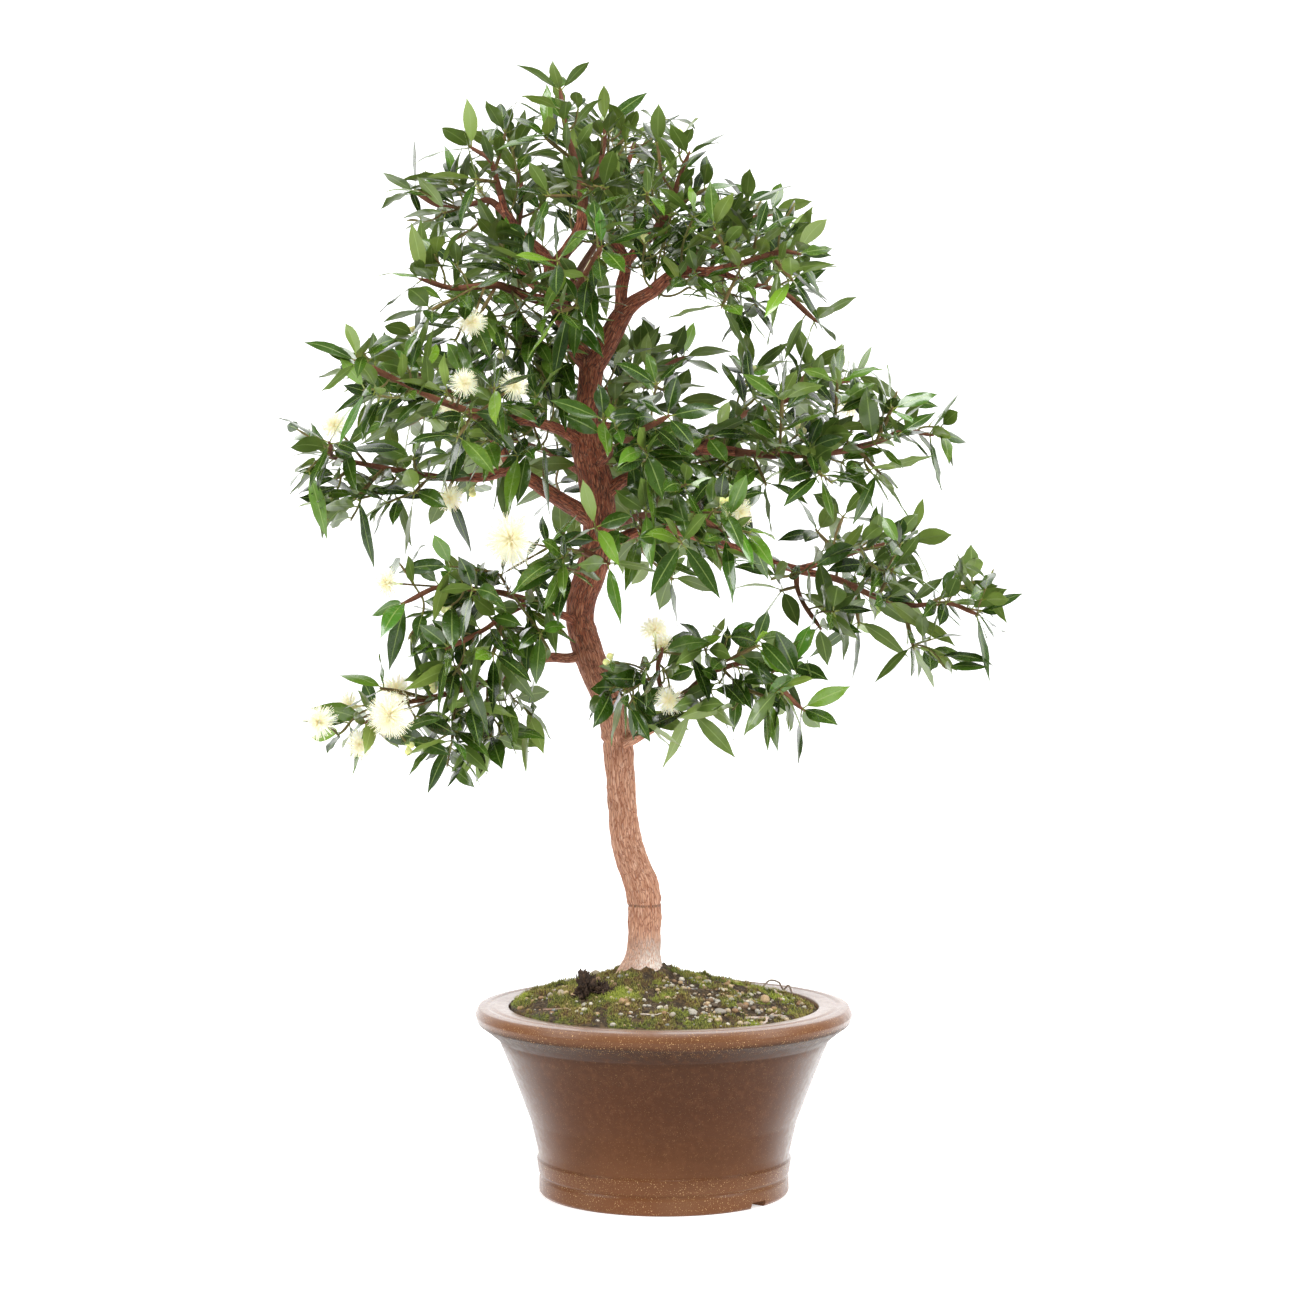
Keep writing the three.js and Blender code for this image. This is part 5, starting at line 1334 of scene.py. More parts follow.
def make_pot(clay):
    profile = rounded(POT_PROFILE, 1.1)
    half = math.degrees(NOTCH_WIDTH / 2 / FOOT_MIDDLE)
    angles = set(np.linspace(0, 360, 181)[:-1].round(3))
    for middle in NOTCH_ANGLES:
        for edge in (-half - 0.25, -half, -half + NOTCH_EDGE, half - NOTCH_EDGE, half, half + 0.25):
            angles.add(round((middle + edge) % 360, 3))
    angles = np.array(sorted(angles))
    rows, columns = len(profile), len(angles)
    turn = np.radians(angles)
    away = [np.abs((angles - middle + 180) % 360 - 180) for middle in NOTCH_ANGLES]
    notch = np.clip((half - np.min(away, axis=0)) / NOTCH_EDGE, 0, 1)
    radius = np.repeat(profile[:, :1], columns, axis=1)
    height = np.repeat(profile[:, 1:], columns, axis=1)
    low = (radius > FOOT_RING[0]) & (radius < FOOT_RING[1]) & (height < NOTCH_HEIGHT)
    height = np.where(low, height + (NOTCH_HEIGHT - height) * notch, height)
    points = np.stack([radius * np.cos(turn), radius * np.sin(turn), height], axis=2)
    wobble = noise(points.reshape(-1, 3) * np.array([0.012, 0.012, 0.03]), 9).reshape(rows, columns) * 0.25
    points[..., :2] *= (1 + wobble / 150)[..., None]
    faces = grid_faces(rows, columns, closed=True)
    last = (rows - 1) * columns
    faces += [[last + c, last + (c + 1) % columns, (c + 1) % columns, c] for c in range(columns)]
    cloth = Cloth()
    cloth.add(points, faces)
    cloth.make("clay_pot", clay, ["pot"], sharp=32)


# Soil, moss and stones.

def ground_noise(x, y, scale, seed, count=1):
    return layers(np.column_stack([x, y, np.zeros(len(x))]) * scale, seed, count)


def stony(x, y, wide, deep):
    """How much of the ground is stones: a spot at the front right."""
    return np.exp(-(((x - STONY_PLACE[0]) / wide) ** 2) - ((y - STONY_PLACE[1]) / deep) ** 2)


def soil_height(x, y):
    distance = np.hypot(x - MOUND_CENTRE[0], y - MOUND_CENTRE[1]) / MOUND_REACH
    mound = MOUND_RISE * np.maximum(0, 1 - distance**1.4)
    lumps = 1.1 * np.sin(x * 0.09 + 1.3) * np.cos(y * 0.11) + 0.7 * np.sin(x * 0.21 - y * 0.17)
    return SOIL_EDGE + mound + lumps * np.clip((1 - distance) * 4, 0, 1)


def moss_share(x, y):
    """Where moss grows: 0 is bare soil and 1 is thick moss."""
    patches = ground_noise(x, y, 0.075, 20, 4)
    return np.clip((patches + 0.5 - 0.42 * stony(x, y, 46, 42)) * 2.4, 0, 1)


def ground_height(x, y):
    """The soil with its crumbs, and the cushions of moss on it."""
    edge = np.clip((133 - np.hypot(x, y)) / 10, 0, 1)
    crumbs = 1.3 * ground_noise(x, y, 0.16, 30, 3) + 0.5 * ground_noise(x, y, 0.7, 33)
    plump = 0.75 + 0.5 * ground_noise(x, y, 0.13, 36) + 0.35 * ground_noise(x, y, 0.34, 37)
    cushions = 2.8 * moss_share(x, y) * plump
    collar = 7.5 * np.exp(-(np.maximum(0, from_trunk(x, y) - 15) / 17) ** 2)
    return soil_height(x, y) + (crumbs + cushions) * edge + collar


def from_trunk(x, y):
    return np.hypot(x - TRUNK_FOOT[0], y - TRUNK_FOOT[1])


def scattered(reach, draw):
    """A random place on the round soil."""
    r, a = reach * math.sqrt(draw()), draw() * FULL_TURN
    return r * math.cos(a), r * math.sin(a)


SOIL_ROWS = 92
SOIL_COLUMNS = 256
SOIL_SIDE = ((135.8, 160.4), (133.4, 150.4), (97.5, 22.6), (60, 20.6))
SOIL_UNDERSIDE = 20.4
MOSS_TRIES = 20500
STONE_COUNT = 680
CLOD_PARTS = (((0, 0), 7.5, (7.5, 7, 12.5)), ((14, 3), 3.5, (7, 6.5, 7.5)))
CLOD_SHREDS = 44
DRY_TWIGS = [
    (70, -96, 106, -64, 1.5), (84, -98, 98, -58, 1.2), (-104, -60, -82, -84, 1.0), (20, 96, 52, 84, 1.2),
    (-20, -112, 6, -106, 0.9), (-112, 20, -100, 48, 1.0), (96, 30, 110, 4, 1.0),
]


def make_soil(ground):
    """The ground in rings from the mound's middle to the rim, then the side and the underside."""
    radii = np.concatenate([np.linspace(1.5, 135.2, SOIL_ROWS), [radius for radius, _ in SOIL_SIDE]])
    turn = np.arange(SOIL_COLUMNS) * (FULL_TURN / SOIL_COLUMNS)
    x, y = np.outer(radii, np.cos(turn)), np.outer(radii, np.sin(turn))
    z = ground_height(x.ravel(), y.ravel()).reshape(x.shape)
    z[SOIL_ROWS:] = np.array(SOIL_SIDE)[:, 1:]
    points = np.stack([x, y, z], axis=2).reshape(-1, 3)
    count = len(points)
    moss = np.zeros((count + 2, 3))
    moss[:count, 0] = moss_share(points[:, 0], points[:, 1])
    moss[SOIL_ROWS * SOIL_COLUMNS:] = 0
    middles = [[0, 0, ground_height(np.zeros(1), np.zeros(1))[0]], [0, 0, SOIL_UNDERSIDE]]
    faces = grid_faces(len(radii), SOIL_COLUMNS, closed=True)
    faces += fan_faces(count, 0, SOIL_COLUMNS)
    faces += fan_faces(count + 1, count - SOIL_COLUMNS, SOIL_COLUMNS, flip=True)
    cloth = Cloth()
    cloth.add(np.concatenate([points, middles]), faces, moss=moss)
    cloth.make("soil_ground", ground, ["soil"])


def make_moss(material, draw):
    """Fine upright moss stems over the mossy patches."""
    spikes = np.array([(*scattered(133, draw), draw(), draw(), draw(), draw()) for _ in range(MOSS_TRIES)])
    share = moss_share(spikes[:, 0], spikes[:, 1])
    away = from_trunk(spikes[:, 0], spikes[:, 1])
    x, y, lot, *rest = spikes[(share > 0.25) & (spikes[:, 2] < share * 1.1) & (away > 25)].T
    z = ground_height(x, y)
    tall = 1.6 + 2.4 * rest[0]
    points = np.empty((len(x), 4, 3))
    for k in range(3):
        turn = k * FULL_TURN / 3 + lot * 6
        points[:, k] = np.column_stack([x + 0.45 * np.cos(turn), y + 0.45 * np.sin(turn), z - 0.6])
    lean_x, lean_y = [(side - 0.5) * tall * 0.9 for side in rest[1:]]
    points[:, 3] = np.column_stack([x + lean_x, y + lean_y, z + tall])
    tint = np.zeros((len(x), 4, 3))
    tint[..., 0] = lot[:, None]
    tint[:, 3, 1] = 1
    corners = ((0, 1, 3), (1, 2, 3), (2, 0, 3), (2, 1, 0))
    faces = [[i + k for k in corner] for i in range(0, 4 * len(x), 4) for corner in corners]
    cloth = Cloth()
    cloth.add(points, faces, tint=tint.reshape(-1, 3))
    cloth.make("moss", material)


def ball(level):
    """The points and faces of a round ball made of triangles."""
    t = (1 + math.sqrt(5)) / 2
    points = [(-1, t, 0), (1, t, 0), (-1, -t, 0), (1, -t, 0), (0, -1, t), (0, 1, t)]
    points += [(0, -1, -t), (0, 1, -t), (t, 0, -1), (t, 0, 1), (-t, 0, -1), (-t, 0, 1)]
    points = [unit(vec(*p)) for p in points]
    faces = [
        (0, 11, 5), (0, 5, 1), (0, 1, 7), (0, 7, 10), (0, 10, 11), (1, 5, 9), (5, 11, 4), (11, 10, 2),
        (10, 7, 6), (7, 1, 8), (3, 9, 4), (3, 4, 2), (3, 2, 6), (3, 6, 8), (3, 8, 9), (4, 9, 5), (2, 4, 11),
        (6, 2, 10), (8, 6, 7), (9, 8, 1),
    ]
    for _ in range(level):
        middles, finer = {}, []
        for a, b, c in faces:
            corners = []
            for p, q in ((a, b), (b, c), (c, a)):
                key = (min(p, q), max(p, q))
                if key not in middles:
                    middles[key] = len(points)
                    points.append(unit(points[p] + points[q]))
                corners.append(middles[key])
            ab, bc, ca = corners
            finer += [(a, ab, ca), (b, bc, ab), (c, ca, bc), (ab, bc, ca)]
        faces = finer
    return np.array(points), [list(face) for face in faces]


def make_gravel(material, draw):
    fine, coarse = ball(2), ball(1)
    places = [(x, y, reach, fine) for x, y, reach in STONES]
    while len(places) < STONE_COUNT:
        x, y = scattered(131, draw)
        is_off_clod = math.hypot(x - CLOD[0], y - CLOD[1]) > 10
        if from_trunk(x, y) > 30 and is_off_clod and draw() < 0.2 + 0.8 * stony(x, y, 50, 48):
            places.append((x, y, 1 + 2.1 * draw() ** 1.8, coarse))
    cloth = Cloth()
    for i, (x, y, reach, (points, faces)) in enumerate(places):
        stretch = vec(1, 0.7 + 0.25 * draw(), 0.55 + 0.3 * draw()) * reach
        shape = points * (1 + 0.22 * noise(points * 1.6 + i * 7.3, 50))[:, None] * stretch
        turn = draw() * FULL_TURN
        cos, sin = math.cos(turn), math.sin(turn)
        shape = shape @ np.array([[cos, sin, 0], [-sin, cos, 0], [0, 0, 1]])
        z = float(ground_height(vec(x), vec(y))[0]) + reach * 0.12
        cloth.add(shape + vec(x, y, z), faces, tint=(draw(), draw(), 0))
    cloth.make("gravel", material)


def make_clod(material, draw):
    """The dark ragged clods that stand on the soil, with shreds of bark on them."""
    cloth = Cloth()
    points, faces = ball(4)
    for i, (away, high, reach) in enumerate(CLOD_PARTS):
        x, y = CLOD[0] + away[0], CLOD[1] + away[1]
        lumps = 1 + 0.6 * layers(points * 2.6 + i * 5, 60, 4) + 0.28 * noise(points * 11, 66)
        base = float(soil_height(vec(x), vec(y))[0])
        shape = points * lumps[:, None] * vec(*reach) + vec(x, y, base + high)
        cloth.add(shape, faces, tint=(0.1, 0, 0))
        for _ in range(CLOD_SHREDS):
            k = int(draw() * len(points))
            start, aim = shape[k], unit(points[k] + vec(draw() - 0.5, draw() - 0.5, draw() * 0.8) * 1.2)
            tip = start + aim * (3 + 4 * draw()) + vec(0, 0, draw() * 3 - 1)
            curve = np.array([start - aim, start + aim * 2, tip])
            shred, shred_faces, _ = tube_form(curve, np.array([1.0, 0.7, 0.2]), 5)
            cloth.add(shred, shred_faces, tint=(draw() * 0.3, 0, 0))
    cloth.make("bark_clod", material)


def make_litter(bark):
    """Small dry twigs that lie on the soil, and a curled one that stands up from it."""
    cloth = Cloth()
    t = np.linspace(0, 1, 7)
    wander = np.array([0, 1, -0.5, 0.8, -0.6, 0.7, 0]) * 1.2
    for i, (x0, y0, x1, y1, radius) in enumerate(DRY_TWIGS):
        x = x0 + (x1 - x0) * t + wander
        y = y0 + (y1 - y0) * t
        ground = ground_height(x, y)
        z = np.maximum(ground, np.interp(t, [0, 1], ground[[0, -1]])) + radius * 0.7
        thick = np.linspace(radius, radius * 0.6, len(t))
        tube(cloth, np.column_stack([x, y, z]), thick, 8, bark_shape(0.12), (0.3, 0.3, 0), i)
    curl, _, _ = smooth(CURLED_TWIG, [1] * len(CURLED_TWIG), 1.5)
    tube(cloth, curl, np.full(len(curl), 0.95), 6, None, (0.3, 0.5, 0), 9)
    cloth.make("litter", bark)


# Materials. Colours are written as the screen shows them, from 0 to 255.

def shown(colour):
    """A colour as the screen shows it, turned into light."""
    values = [value / 255 for value in colour]
    return (*[v / 12.92 if v <= 0.04045 else ((v + 0.055) / 1.055) ** 2.4 for v in values], 1)


def put(tree, socket, value):
    """Gives a node's input a value, which is another node's, a colour or a plain number."""
    if isinstance(value, Value):
        tree.links.new(value.socket, socket)
    else:
        socket.default_value = shown(value) if socket.type == "RGBA" else value


class Value:
    """The output of a material's node. Its methods and signs put further nodes after it."""

    def __init__(self, tree, socket):
        self.tree, self.socket = tree, socket

    def __add__(self, other):
        return self.math("ADD", self, other)

    def __sub__(self, other):
        return self.math("SUBTRACT", self, other)

    def __rsub__(self, other):
        return self.math("SUBTRACT", other, self)

    def __mul__(self, other):
        return self.math("MULTIPLY", self, other)

    def __abs__(self):
        return self.math("ABSOLUTE", self)

    def fill(self, node, inputs, output=0):
        """The output of a new node, once its inputs hold the given values."""
        for key, value in inputs.items():
            put(self.tree, node.inputs[key], value)
        return Value(self.tree, node.outputs[output])

    def math(self, operation, *values):
        node = self.tree.nodes.new("ShaderNodeMath")
        node.operation = operation
        return self.fill(node, dict(enumerate(values)))

    def moved(self, operation, amount):
        node = self.tree.nodes.new("ShaderNodeVectorMath")
        node.operation = operation
        return self.fill(node, {0: self, 1: amount})

    def split(self):
        node = self.tree.nodes.new("ShaderNodeSeparateXYZ")
        self.fill(node, {0: self})
        return [Value(self.tree, socket) for socket in node.outputs]

    def noise(self, scale, detail=3.0, rough=0.55):
        node = self.tree.nodes.new("ShaderNodeTexNoise")
        return self.fill(node, {"Vector": self, "Scale": scale, "Detail": detail, "Roughness": rough})

    def cells(self, scale, feature="F1"):
        node = self.tree.nodes.new("ShaderNodeTexVoronoi")
        node.feature = feature
        return self.fill(node, {"Vector": self, "Scale": scale}, "Distance")

    def ease(self, low, high, to_low=0.0, to_high=1.0, kind="SMOOTHSTEP"):
        """Goes from to_low to to_high while this value goes from low to high."""
        node = self.tree.nodes.new("ShaderNodeMapRange")
        node.interpolation_type = kind
        return self.fill(node, dict(enumerate((self, low, high, to_low, to_high))))

    def mix(self, a, b):
        """Goes from colour a to colour b while this value goes from 0 to 1."""
        node = self.tree.nodes.new("ShaderNodeMix")
        node.data_type = "RGBA"
        return self.fill(node, {"Factor": self, 6: a, 7: b}, 2)

    def ramp(self, *stops):
        node = self.tree.nodes.new("ShaderNodeValToRGB")
        points = node.color_ramp.elements
        for i, (position, colour) in enumerate(stops):
            point = points[i] if i < 2 else points.new(position)
            point.position, point.color = position, shown(colour)
        return self.fill(node, {0: self})

    def bump(self, distance, strength):
        node = self.tree.nodes.new("ShaderNodeBump")
        return self.fill(node, {"Strength": strength, "Distance": distance, "Height": self})


class Look:
    """A node material under construction."""

    def __init__(self, name, **inputs):
        self.material = bpy.data.materials.new(name)
        self.material.use_nodes = True
        self.tree = self.material.node_tree
        self.place = self.source("ShaderNodeTexCoord", "Object")
        self.shade(**inputs)

    def source(self, kind, output):
        return Value(self.tree, self.tree.nodes.new(kind).outputs[output])

    def attribute(self, name, output="Vector"):
        value = self.source("ShaderNodeAttribute", output)
        value.socket.node.attribute_name = name
        return value

    def shade(self, **inputs):
        shader = self.tree.nodes["Principled BSDF"]
        for key, value in inputs.items():
            put(self.tree, shader.inputs[key.replace("_", " ")], value)
        return self.material


def layered(colour, *coats):
    """The colour with others over it in turn, each as strong as its share."""
    for share, other in coats:
        colour = share.mix(colour, other)
    return colour


def leaf_look():
    look = Look("leaf_green", Specular_IOR_Level=0.4, Coat_Weight=0.5, Coat_Roughness=0.1)
    across, along, tone = look.attribute("blade").split()
    young, lot, stalk = look.attribute("growth").split()
    under = look.attribute("under", "Fac")
    away = abs(across)
    mottle = look.place.noise(160)
    shade = tone * 0.7 + mottle * 0.4
    top = layered(
        shade.ramp((0.1, (27, 46, 8)), (0.45, (45, 73, 14)), (0.75, (64, 95, 22)), (1.0, (94, 122, 38))),
        (look.place.noise(22, 1).ease(0.35, 0.7, 0, 0.3), (28, 52, 12)),
        (young, lot.ramp((0.0, (70, 122, 32)), (1.0, (122, 158, 46)))),
    )
    below = shade.ramp((0.2, (74, 98, 34)), (0.6, (96, 120, 44)), (1.0, (124, 144, 58)))
    below = (young * 0.6).mix(below, (150, 176, 84))
    waves = (along * 15 - away * 1.9) * 6.2832
    wave = waves.math("SINE", waves)
    rib = away.ease(0.1, 0.02)
    colour = layered(
        under.mix(top, below),
        (wave.ease(0.86, 1.0) * 0.12, (106, 136, 72)),
        (away.ease(0.93, 1.0) * 0.35, (142, 122, 66)),
        (rib * 0.7, (140, 162, 86)),
        (stalk, (128, 138, 62)),
    )
    gloss = mottle.ease(0.3, 0.75, 0.18, 0.32) + under * 0.25
    rise = wave * 0.12 + mottle * 0.6 - rib * 0.8
    return look.shade(Base_Color=colour, Roughness=gloss, Normal=rise.bump(0.0003, 0.35))


def bark_look():
    """Pale below and dark red brown in the crown, with furrows whose dark brown is partly their own inner
    bark and partly painted shade, a scar ring and green young twigs.
    """
    look = Look("bark_brown")
    grain = look.attribute("grain")
    kind, twig, _ = look.attribute("kind").split()
    east, _, height = look.place.split()
    wander = (grain.noise(0.11, 2) - 0.5) * 3.2
    fibres = grain.moved("MULTIPLY", (1.0, 1.0, 0.14)).noise(0.62, 4, 0.65)
    threads = grain.moved("MULTIPLY", (1.0, 1.0, 0.08)).noise(1.5, 3, 0.6)
    furrows = grain.moved("MULTIPLY", (1.0, 1.0, 0.17)).moved("ADD", wander).cells(0.52, "DISTANCE_TO_EDGE")
    patches = grain.noise(0.035)
    low = fibres.ramp(
        (0.3, (172, 112, 82)), (0.45, (202, 146, 114)), (0.6, (222, 172, 142)), (0.76, (244, 210, 186))
    )
    high = fibres.ramp(
        (0.28, (88, 40, 26)), (0.44, (142, 73, 48)), (0.58, (178, 104, 72)), (0.78, (228, 168, 132))
    )
    raised = (height + (patches - 0.5) * 0.14).ease(0.36, 0.52)
    # The furrows' dark colour is partly darker inner bark and partly painted shade; the same mask sinks them
    # in the bump.
    furrow_shade = furrows.ease(0.03, 0.15, 1.0, 0.0)
    pale = (height + fibres * 0.05).ease(0.262, 0.222) * threads.ease(0.4, 0.54, 0.15, 1.0)
    scar = abs(height + patches * 0.004 - 0.2553).ease(0.0016, 0.0005) * fibres.ease(0.4, 0.52)
    green = fibres.ease(0.35, 0.65).mix((104, 84, 46), (126, 128, 62))
    colour = layered(
        raised.mix(low, high),
        (furrow_shade * threads.ease(0.36, 0.6, 0.25, 0.95) * (1.0 - twig), raised.mix((146, 84, 58), (56, 26, 17))),
        (threads.ease(0.6, 0.74, 0, 0.6), raised.mix((250, 226, 204), (234, 186, 154))),
        (pale * east.ease(-0.032, -0.012, 0.3, 0.95), (250, 242, 232)),
        (scar * 0.75, (92, 58, 44)),
        (twig, kind.ease(0.0, 0.7).mix((118, 66, 42), green)),
    )
    rise = fibres + threads * 0.6 - furrow_shade * 0.55
    rough = fibres.ease(0.3, 0.7, 0.8, 0.6)
    return look.shade(Base_Color=colour, Roughness=rough, Normal=rise.bump(0.0016, 0.75))


def bloom_look():
    # Painted light: the blooms glow faintly cream, so that their shaded hearts stay pale.
    painted_glow = {"Emission_Color": (255, 247, 208), "Emission_Strength": 0.14}
    look = Look("bloom_cream", Roughness=0.6, Subsurface_Weight=0.3, Subsurface_Scale=0.006, **painted_glow)
    kind, share, lot = look.attribute("part").split()
    speckle = look.place.noise(500, 2)
    spots = speckle.ease(0.35, 0.65)
    thread = share.ease(0.1, 0.7).mix((250, 240, 184), (254, 251, 230))
    colour = layered(
        (speckle * 0.2).mix(thread, (246, 238, 200)),
        (kind.ease(0.4, 0.9), spots.mix((158, 172, 92), (184, 194, 118))),
        (kind.ease(1.4, 1.9), lot.mix((240, 226, 160), (254, 248, 216))),
        (kind.ease(2.4, 2.9), spots.mix((186, 196, 110), (214, 218, 142))),
    )
    return look.shade(Base_Color=colour, Normal=speckle.bump(0.0002, 0.3))


def clay_look():
    """Fired clay, glossier where it is seen aslant, but not in the painted shade just under the lip. The
    lip's lighter brown is painted light from above.
    """
    look = Look("clay_brown", Specular_IOR_Level=0.12, Coat_Roughness=0.26)
    place = look.place
    _, _, height = place.split()
    broad, fine = place.noise(9, 4), place.noise(160, 4)
    grit, specks = place.cells(700), place.noise(1050, 1)
    rings = place.moved("MULTIPLY", (0.6, 0.6, 24.0)).noise(9, 3)
    level = (height + broad * 0.008).ease(0.004, 0.174, kind="LINEAR")
    facing = look.source("ShaderNodeLayerWeight", "Facing")
    # Painted shade: the strip just under the lip is painted dark and loses its coat, as if the lip shaded it.
    lip_shade = level.ease(0.74, 0.83) * level.ease(0.91, 0.885)
    coat = facing.ease(0.3, 0.85, 0.06, 0.9) * (1.0 - lip_shade * 0.92)
    ledges = height.ease(0.14, 0.15) + height.ease(0.034, 0.03)
    # Lighter towards the foot. The two darkest stops, just under the lip, are painted shade, and the lighter
    # brown of the lip above them is painted light from above.
    colour = layered(
        level.ramp(
            (0.0, (112, 70, 42)), (0.18, (102, 63, 36)), (0.3, (88, 51, 24)), (0.55, (75, 40, 15)),
            (0.78, (70, 39, 17)), (0.83, (52, 31, 18)), (0.885, (50, 31, 19)), (0.91, (104, 67, 42)),
            (1.0, (134, 94, 67)),
        ),
        (broad.ease(0.35, 0.7, 0, 0.35), (62, 34, 15)),
        (fine.ease(0.45, 0.75, 0, 0.3), (104, 66, 40)),
        (rings.ease(0.5, 0.8, 0, 0.14), (76, 44, 28)),
        (height.ease(0.1615, 0.1655) * fine.ease(0.3, 0.7, 0.35, 0.75), (136, 110, 98)),
        (height.ease(0.036, 0.012) * broad.ease(0.4, 0.62, 0.0, 0.3), (136, 98, 70)),
        (specks.ease(0.66, 0.72, 0, 0.8) * (ledges + 0.22), (206, 164, 112)),
        (grit.ease(0.12, 0.06) * place.noise(60, 2).ease(0.6, 0.68) * 0.7, (34, 20, 14)),
    )
    rise = rings * 0.5 + fine * 0.35
    rough = fine.ease(0.3, 0.75, 0.28, 0.44)
    return look.shade(Base_Color=colour, Roughness=rough, Coat_Weight=coat, Normal=rise.bump(0.0005, 0.3))


def moss_patches(place):
    """The noises that set where the moss is straw brown and where it is bright."""
    return place.noise(34, 3, 0.6), place.moved("ADD", (0.31, 0.31, 0.31)).noise(26, 2)


def ground_look():
    look = Look("soil_brown", Roughness=0.92)
    place = look.place
    share, _, _ = look.attribute("moss").split()
    crumbs, tufts = place.noise(240, 5, 0.7), place.noise(380, 4, 0.7)
    patch, bright = moss_patches(place)
    earth = crumbs.ramp(
        (0.3, (30, 22, 15)), (0.5, (66, 52, 34)), (0.68, (104, 84, 56)), (0.85, (144, 122, 90))
    )
    earth = place.cells(330).ease(0.2, 0.1, 0, 0.55).mix(earth, (158, 142, 114))
    straw = tufts.ramp((0.3, (36, 24, 14)), (0.55, (92, 70, 38)), (0.8, (142, 118, 70)))
    green = layered(
        tufts.ramp((0.3, (30, 28, 12)), (0.5, (72, 76, 26)), (0.68, (128, 132, 48)), (0.9, (176, 174, 84))),
        (bright.ease(0.52, 0.64, 0, 0.5), (146, 160, 52)),
        (patch.ease(0.44, 0.58), straw),
    )
    colour = (share + (crumbs - 0.5) * 0.9).ease(0.35, 0.65).mix(earth, green)
    return look.shade(Base_Color=colour, Normal=(crumbs + tufts * 0.6).bump(0.0016, 0.8))


def moss_look():
    look = Look("moss_green", Roughness=0.85)
    lot, tip, _ = look.attribute("tint").split()
    patch, bright = moss_patches(look.place)
    colour = layered(
        lot.ramp((0.0, (48, 50, 16)), (0.5, (98, 104, 34)), (1.0, (148, 146, 60))),
        (bright.ease(0.5, 0.64, 0, 0.75), (164, 178, 60)),
        (patch.ease(0.44, 0.58, 0, 0.85), lot.mix((84, 58, 32), (150, 124, 70))),
        (tip * 0.5, (168, 170, 84)),
    )
    return look.shade(Base_Color=colour, Normal=look.place.noise(900, 2).bump(0.0004, 0.4))


def stone_look():
    look = Look("stone_mixed")
    lot, shade, _ = look.attribute("tint").split()
    speckle = look.place.noise(700, 4, 0.7)
    colour = layered(
        lot.ramp(
            (0.0, (92, 78, 62)), (0.2, (176, 138, 98)), (0.45, (216, 192, 152)), (0.62, (136, 138, 138)),
            (0.8, (226, 218, 200)), (1.0, (178, 172, 160)),
        ),
        (speckle.ease(0.4, 0.75, 0.0, 0.45), (96, 80, 62)),
        (shade * 0.16, (84, 68, 50)),
    )
    rough = speckle.ease(0.3, 0.7, 0.55, 0.75)
    return look.shade(Base_Color=colour, Roughness=rough, Normal=speckle.bump(0.0006, 0.6))


def clod_look():
    look = Look("clod_dark", Roughness=0.9)
    lot, _, _ = look.attribute("tint").split()
    crumbs = look.place.noise(330, 5, 0.7)
    colour = crumbs.ramp((0.3, (22, 15, 11)), (0.5, (54, 38, 28)), (0.7, (104, 80, 58)))
    colour = (lot * 0.5).mix(colour, (104, 80, 58))
    return look.shade(Base_Color=colour, Normal=crumbs.bump(0.0012, 0.8))


def pale_look(name, strength, scale):
    """White that glows a little, for the studio."""
    look = Look(name, Roughness=0.8, Emission_Color=(255, 255, 255), Emission_Strength=strength)
    grain = look.place.noise(scale, 2) * 0.15
    return look.shade(Base_Color=grain.mix((250, 250, 250), (246, 246, 247)))


# The object.

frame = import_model()

ends = [plan_end(name) for name in LEAFY_ENDS]
for end in ends:
    end["stems"][0]["wood"] = bare_stops(end["name"])
    bloom_balls.extend(end["blooms"])
leaf_draw = seeded(2026)
for end in ends:
    plan_leaves(end, leaf_draw)
fine_draw = seeded(91)
for end in ends:
    grow_towards(end, fine_draw)
    add_blooms(end)
for end in ends:
    grow_between(end, fine_draw)
for end in ends:
    if LIMBS[end["name"]][-1][2] > INSIDE_ABOVE:
        grow_inside(end, fine_draw)

leaf_green, bark_brown, bloom_cream = leaf_look(), bark_look(), bloom_look()
shape_draw = seeded(7)
for i, end in enumerate(ends):
    for leaf in end["leaves"]:
        if leaf["at_tip"] and shape_draw() < YOUNG_SHARE:
            leaf["young"] = 0.3 + 0.7 * shape_draw()
    make_twigs(end, bark_brown, i)
    cloth = Cloth()
    for leaf in end["leaves"]:
        leaf_blade(cloth, leaf, shape_draw)
    cloth.make(f"foliage_{end['name']}", leaf_green, [f"leaves_{end['name']}"], sharp=50)
    for k, plan in enumerate(end["blooms"]):
        cloth = Cloth()
        bloom(cloth, plan, shape_draw)
        replaced = [] if "added" in plan else [f"bloom_{end['name']}_{k + 1}"]
        cloth.make(f"brush_{end['name']}_{k + 1}", bloom_cream, replaced)

make_buds(ends, bloom_cream, seeded(12))
make_wood(ends, bark_brown)
make_pot(clay_look())
make_soil(ground_look())
make_moss(moss_look(), seeded(41))
make_gravel(stone_look(), seeded(42))
make_clod(clod_look(), seeded(43))
make_litter(bark_brown)


# The studio, in metres: a pale floor that curves up behind the object, a pale wall that only the camera
# sees, for views from the sides and the back, soft light and the camera.

FLOOR_EDGE = 1.4
FLOOR_CURVE = 1.2
WALL_RADIUS = 7
LIGHT_TARGET = (0, 0, 0.5)
LIGHTS = {
    "light_top": ((0.25, -1.1, 2.45), (1.1, 1.0), 46),
    "light_left": ((-2.1, -0.9, 1.5), (1.0, 1.4), 40),
    "light_right": ((2.15, -0.8, 1.4), (1.0, 1.4), 38),
}
CAMERA_PLACE = (0, -2.773, 0.59)
CAMERA_TARGET = (-0.0123, 0, 0.479)
CAMERA_LENS = 87.3
AIR_LIGHT = 0.26


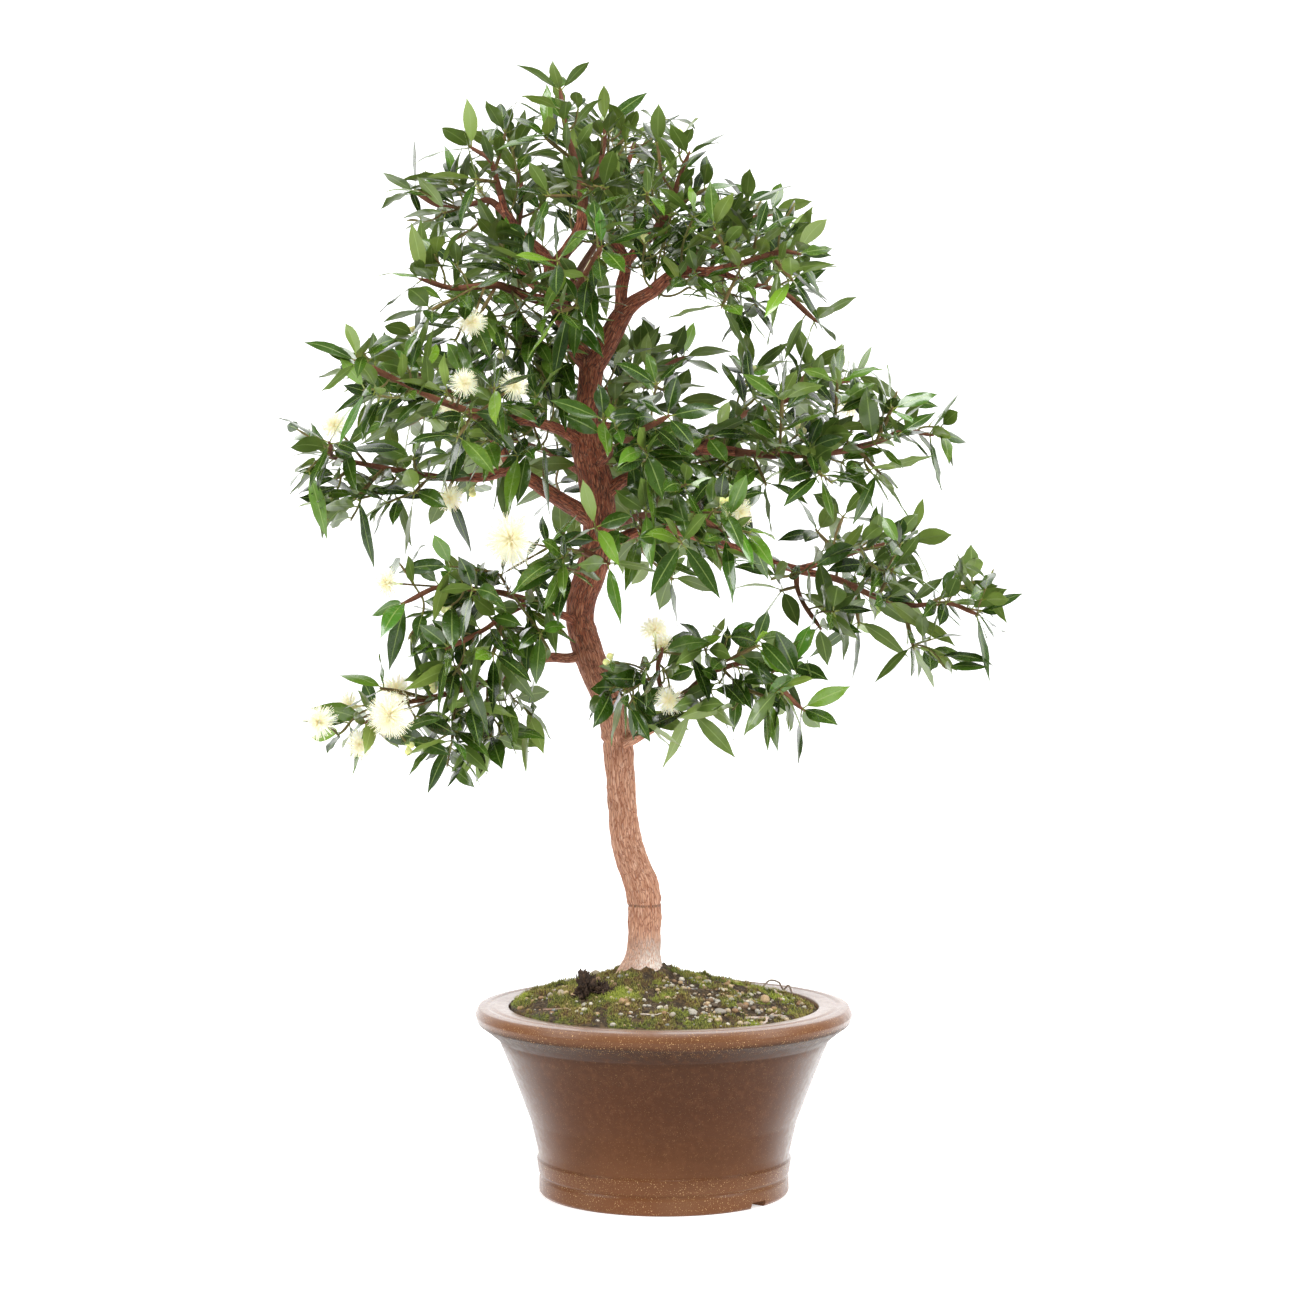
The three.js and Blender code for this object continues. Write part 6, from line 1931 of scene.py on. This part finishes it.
def add_backdrop(name, points, faces, material, is_smooth):
    mesh = bpy.data.meshes.new(name)
    mesh.from_pydata(points, [], faces)
    piece = placed(name, mesh, material, is_smooth)
    return piece


def look_along(place, target):
    """The turn that points a light or camera from its place to a target, level with the ground."""
    aim = unit(np.array(target) - np.array(place))
    tilt = math.atan2(math.hypot(aim[0], aim[1]), -aim[2])
    return tilt, 0.0, math.atan2(-aim[0], aim[1])


rows = [(-4.0, 0.0), (FLOOR_EDGE, 0.0)]
for angle in np.linspace(0.1, math.pi / 2, 12):
    rows.append((FLOOR_EDGE + FLOOR_CURVE * math.sin(angle), FLOOR_CURVE * (1 - math.cos(angle))))
rows.append((FLOOR_EDGE + FLOOR_CURVE, 5.0))
points = [(x, y, z) for y, z in rows for x in (-5.0, 5.0)]
faces = [[2 * i, 2 * i + 1, 2 * i + 3, 2 * i + 2] for i in range(len(rows) - 1)]
add_backdrop("studio_floor", points, faces, pale_look("floor_pale", 0.5, 40), True)

turns = np.linspace(0, FULL_TURN, 49)
points = [(WALL_RADIUS * math.cos(a), WALL_RADIUS * math.sin(a), z) for z in (-2.5, 9.0) for a in turns]
faces = grid_faces(2, len(turns))
wall = add_backdrop("studio_wall", points, faces, pale_look("wall_pale", 1.0, 20), False)
wall.visible_diffuse = wall.visible_glossy = wall.visible_transmission = wall.visible_shadow = False

scene = bpy.context.scene
for name, (place, reach, power) in LIGHTS.items():
    data = bpy.data.lights.new(name, "AREA")
    data.shape = "RECTANGLE"
    data.size, data.size_y = reach
    data.energy = power
    light = bpy.data.objects.new(name, data)
    scene.collection.objects.link(light)
    light.location = place
    light.rotation_euler = look_along(place, LIGHT_TARGET)

world = bpy.data.worlds.new("studio_air")
world.use_nodes = True
air = world.node_tree.nodes["Background"]
air.inputs["Color"].default_value = (1, 1, 1, 1)
air.inputs["Strength"].default_value = AIR_LIGHT
scene.world = world
scene.view_settings.view_transform = "Standard"
scene.view_settings.look = "None"

camera_data = bpy.data.cameras.new("camera")
camera_data.sensor_width = 36
camera_data.lens = CAMERA_LENS
camera = bpy.data.objects.new("camera", camera_data)
scene.collection.objects.link(camera)
camera.location = CAMERA_PLACE
camera.rotation_euler = look_along(CAMERA_PLACE, CAMERA_TARGET)
scene.camera = camera

bpy.context.view_layer.update()
import json
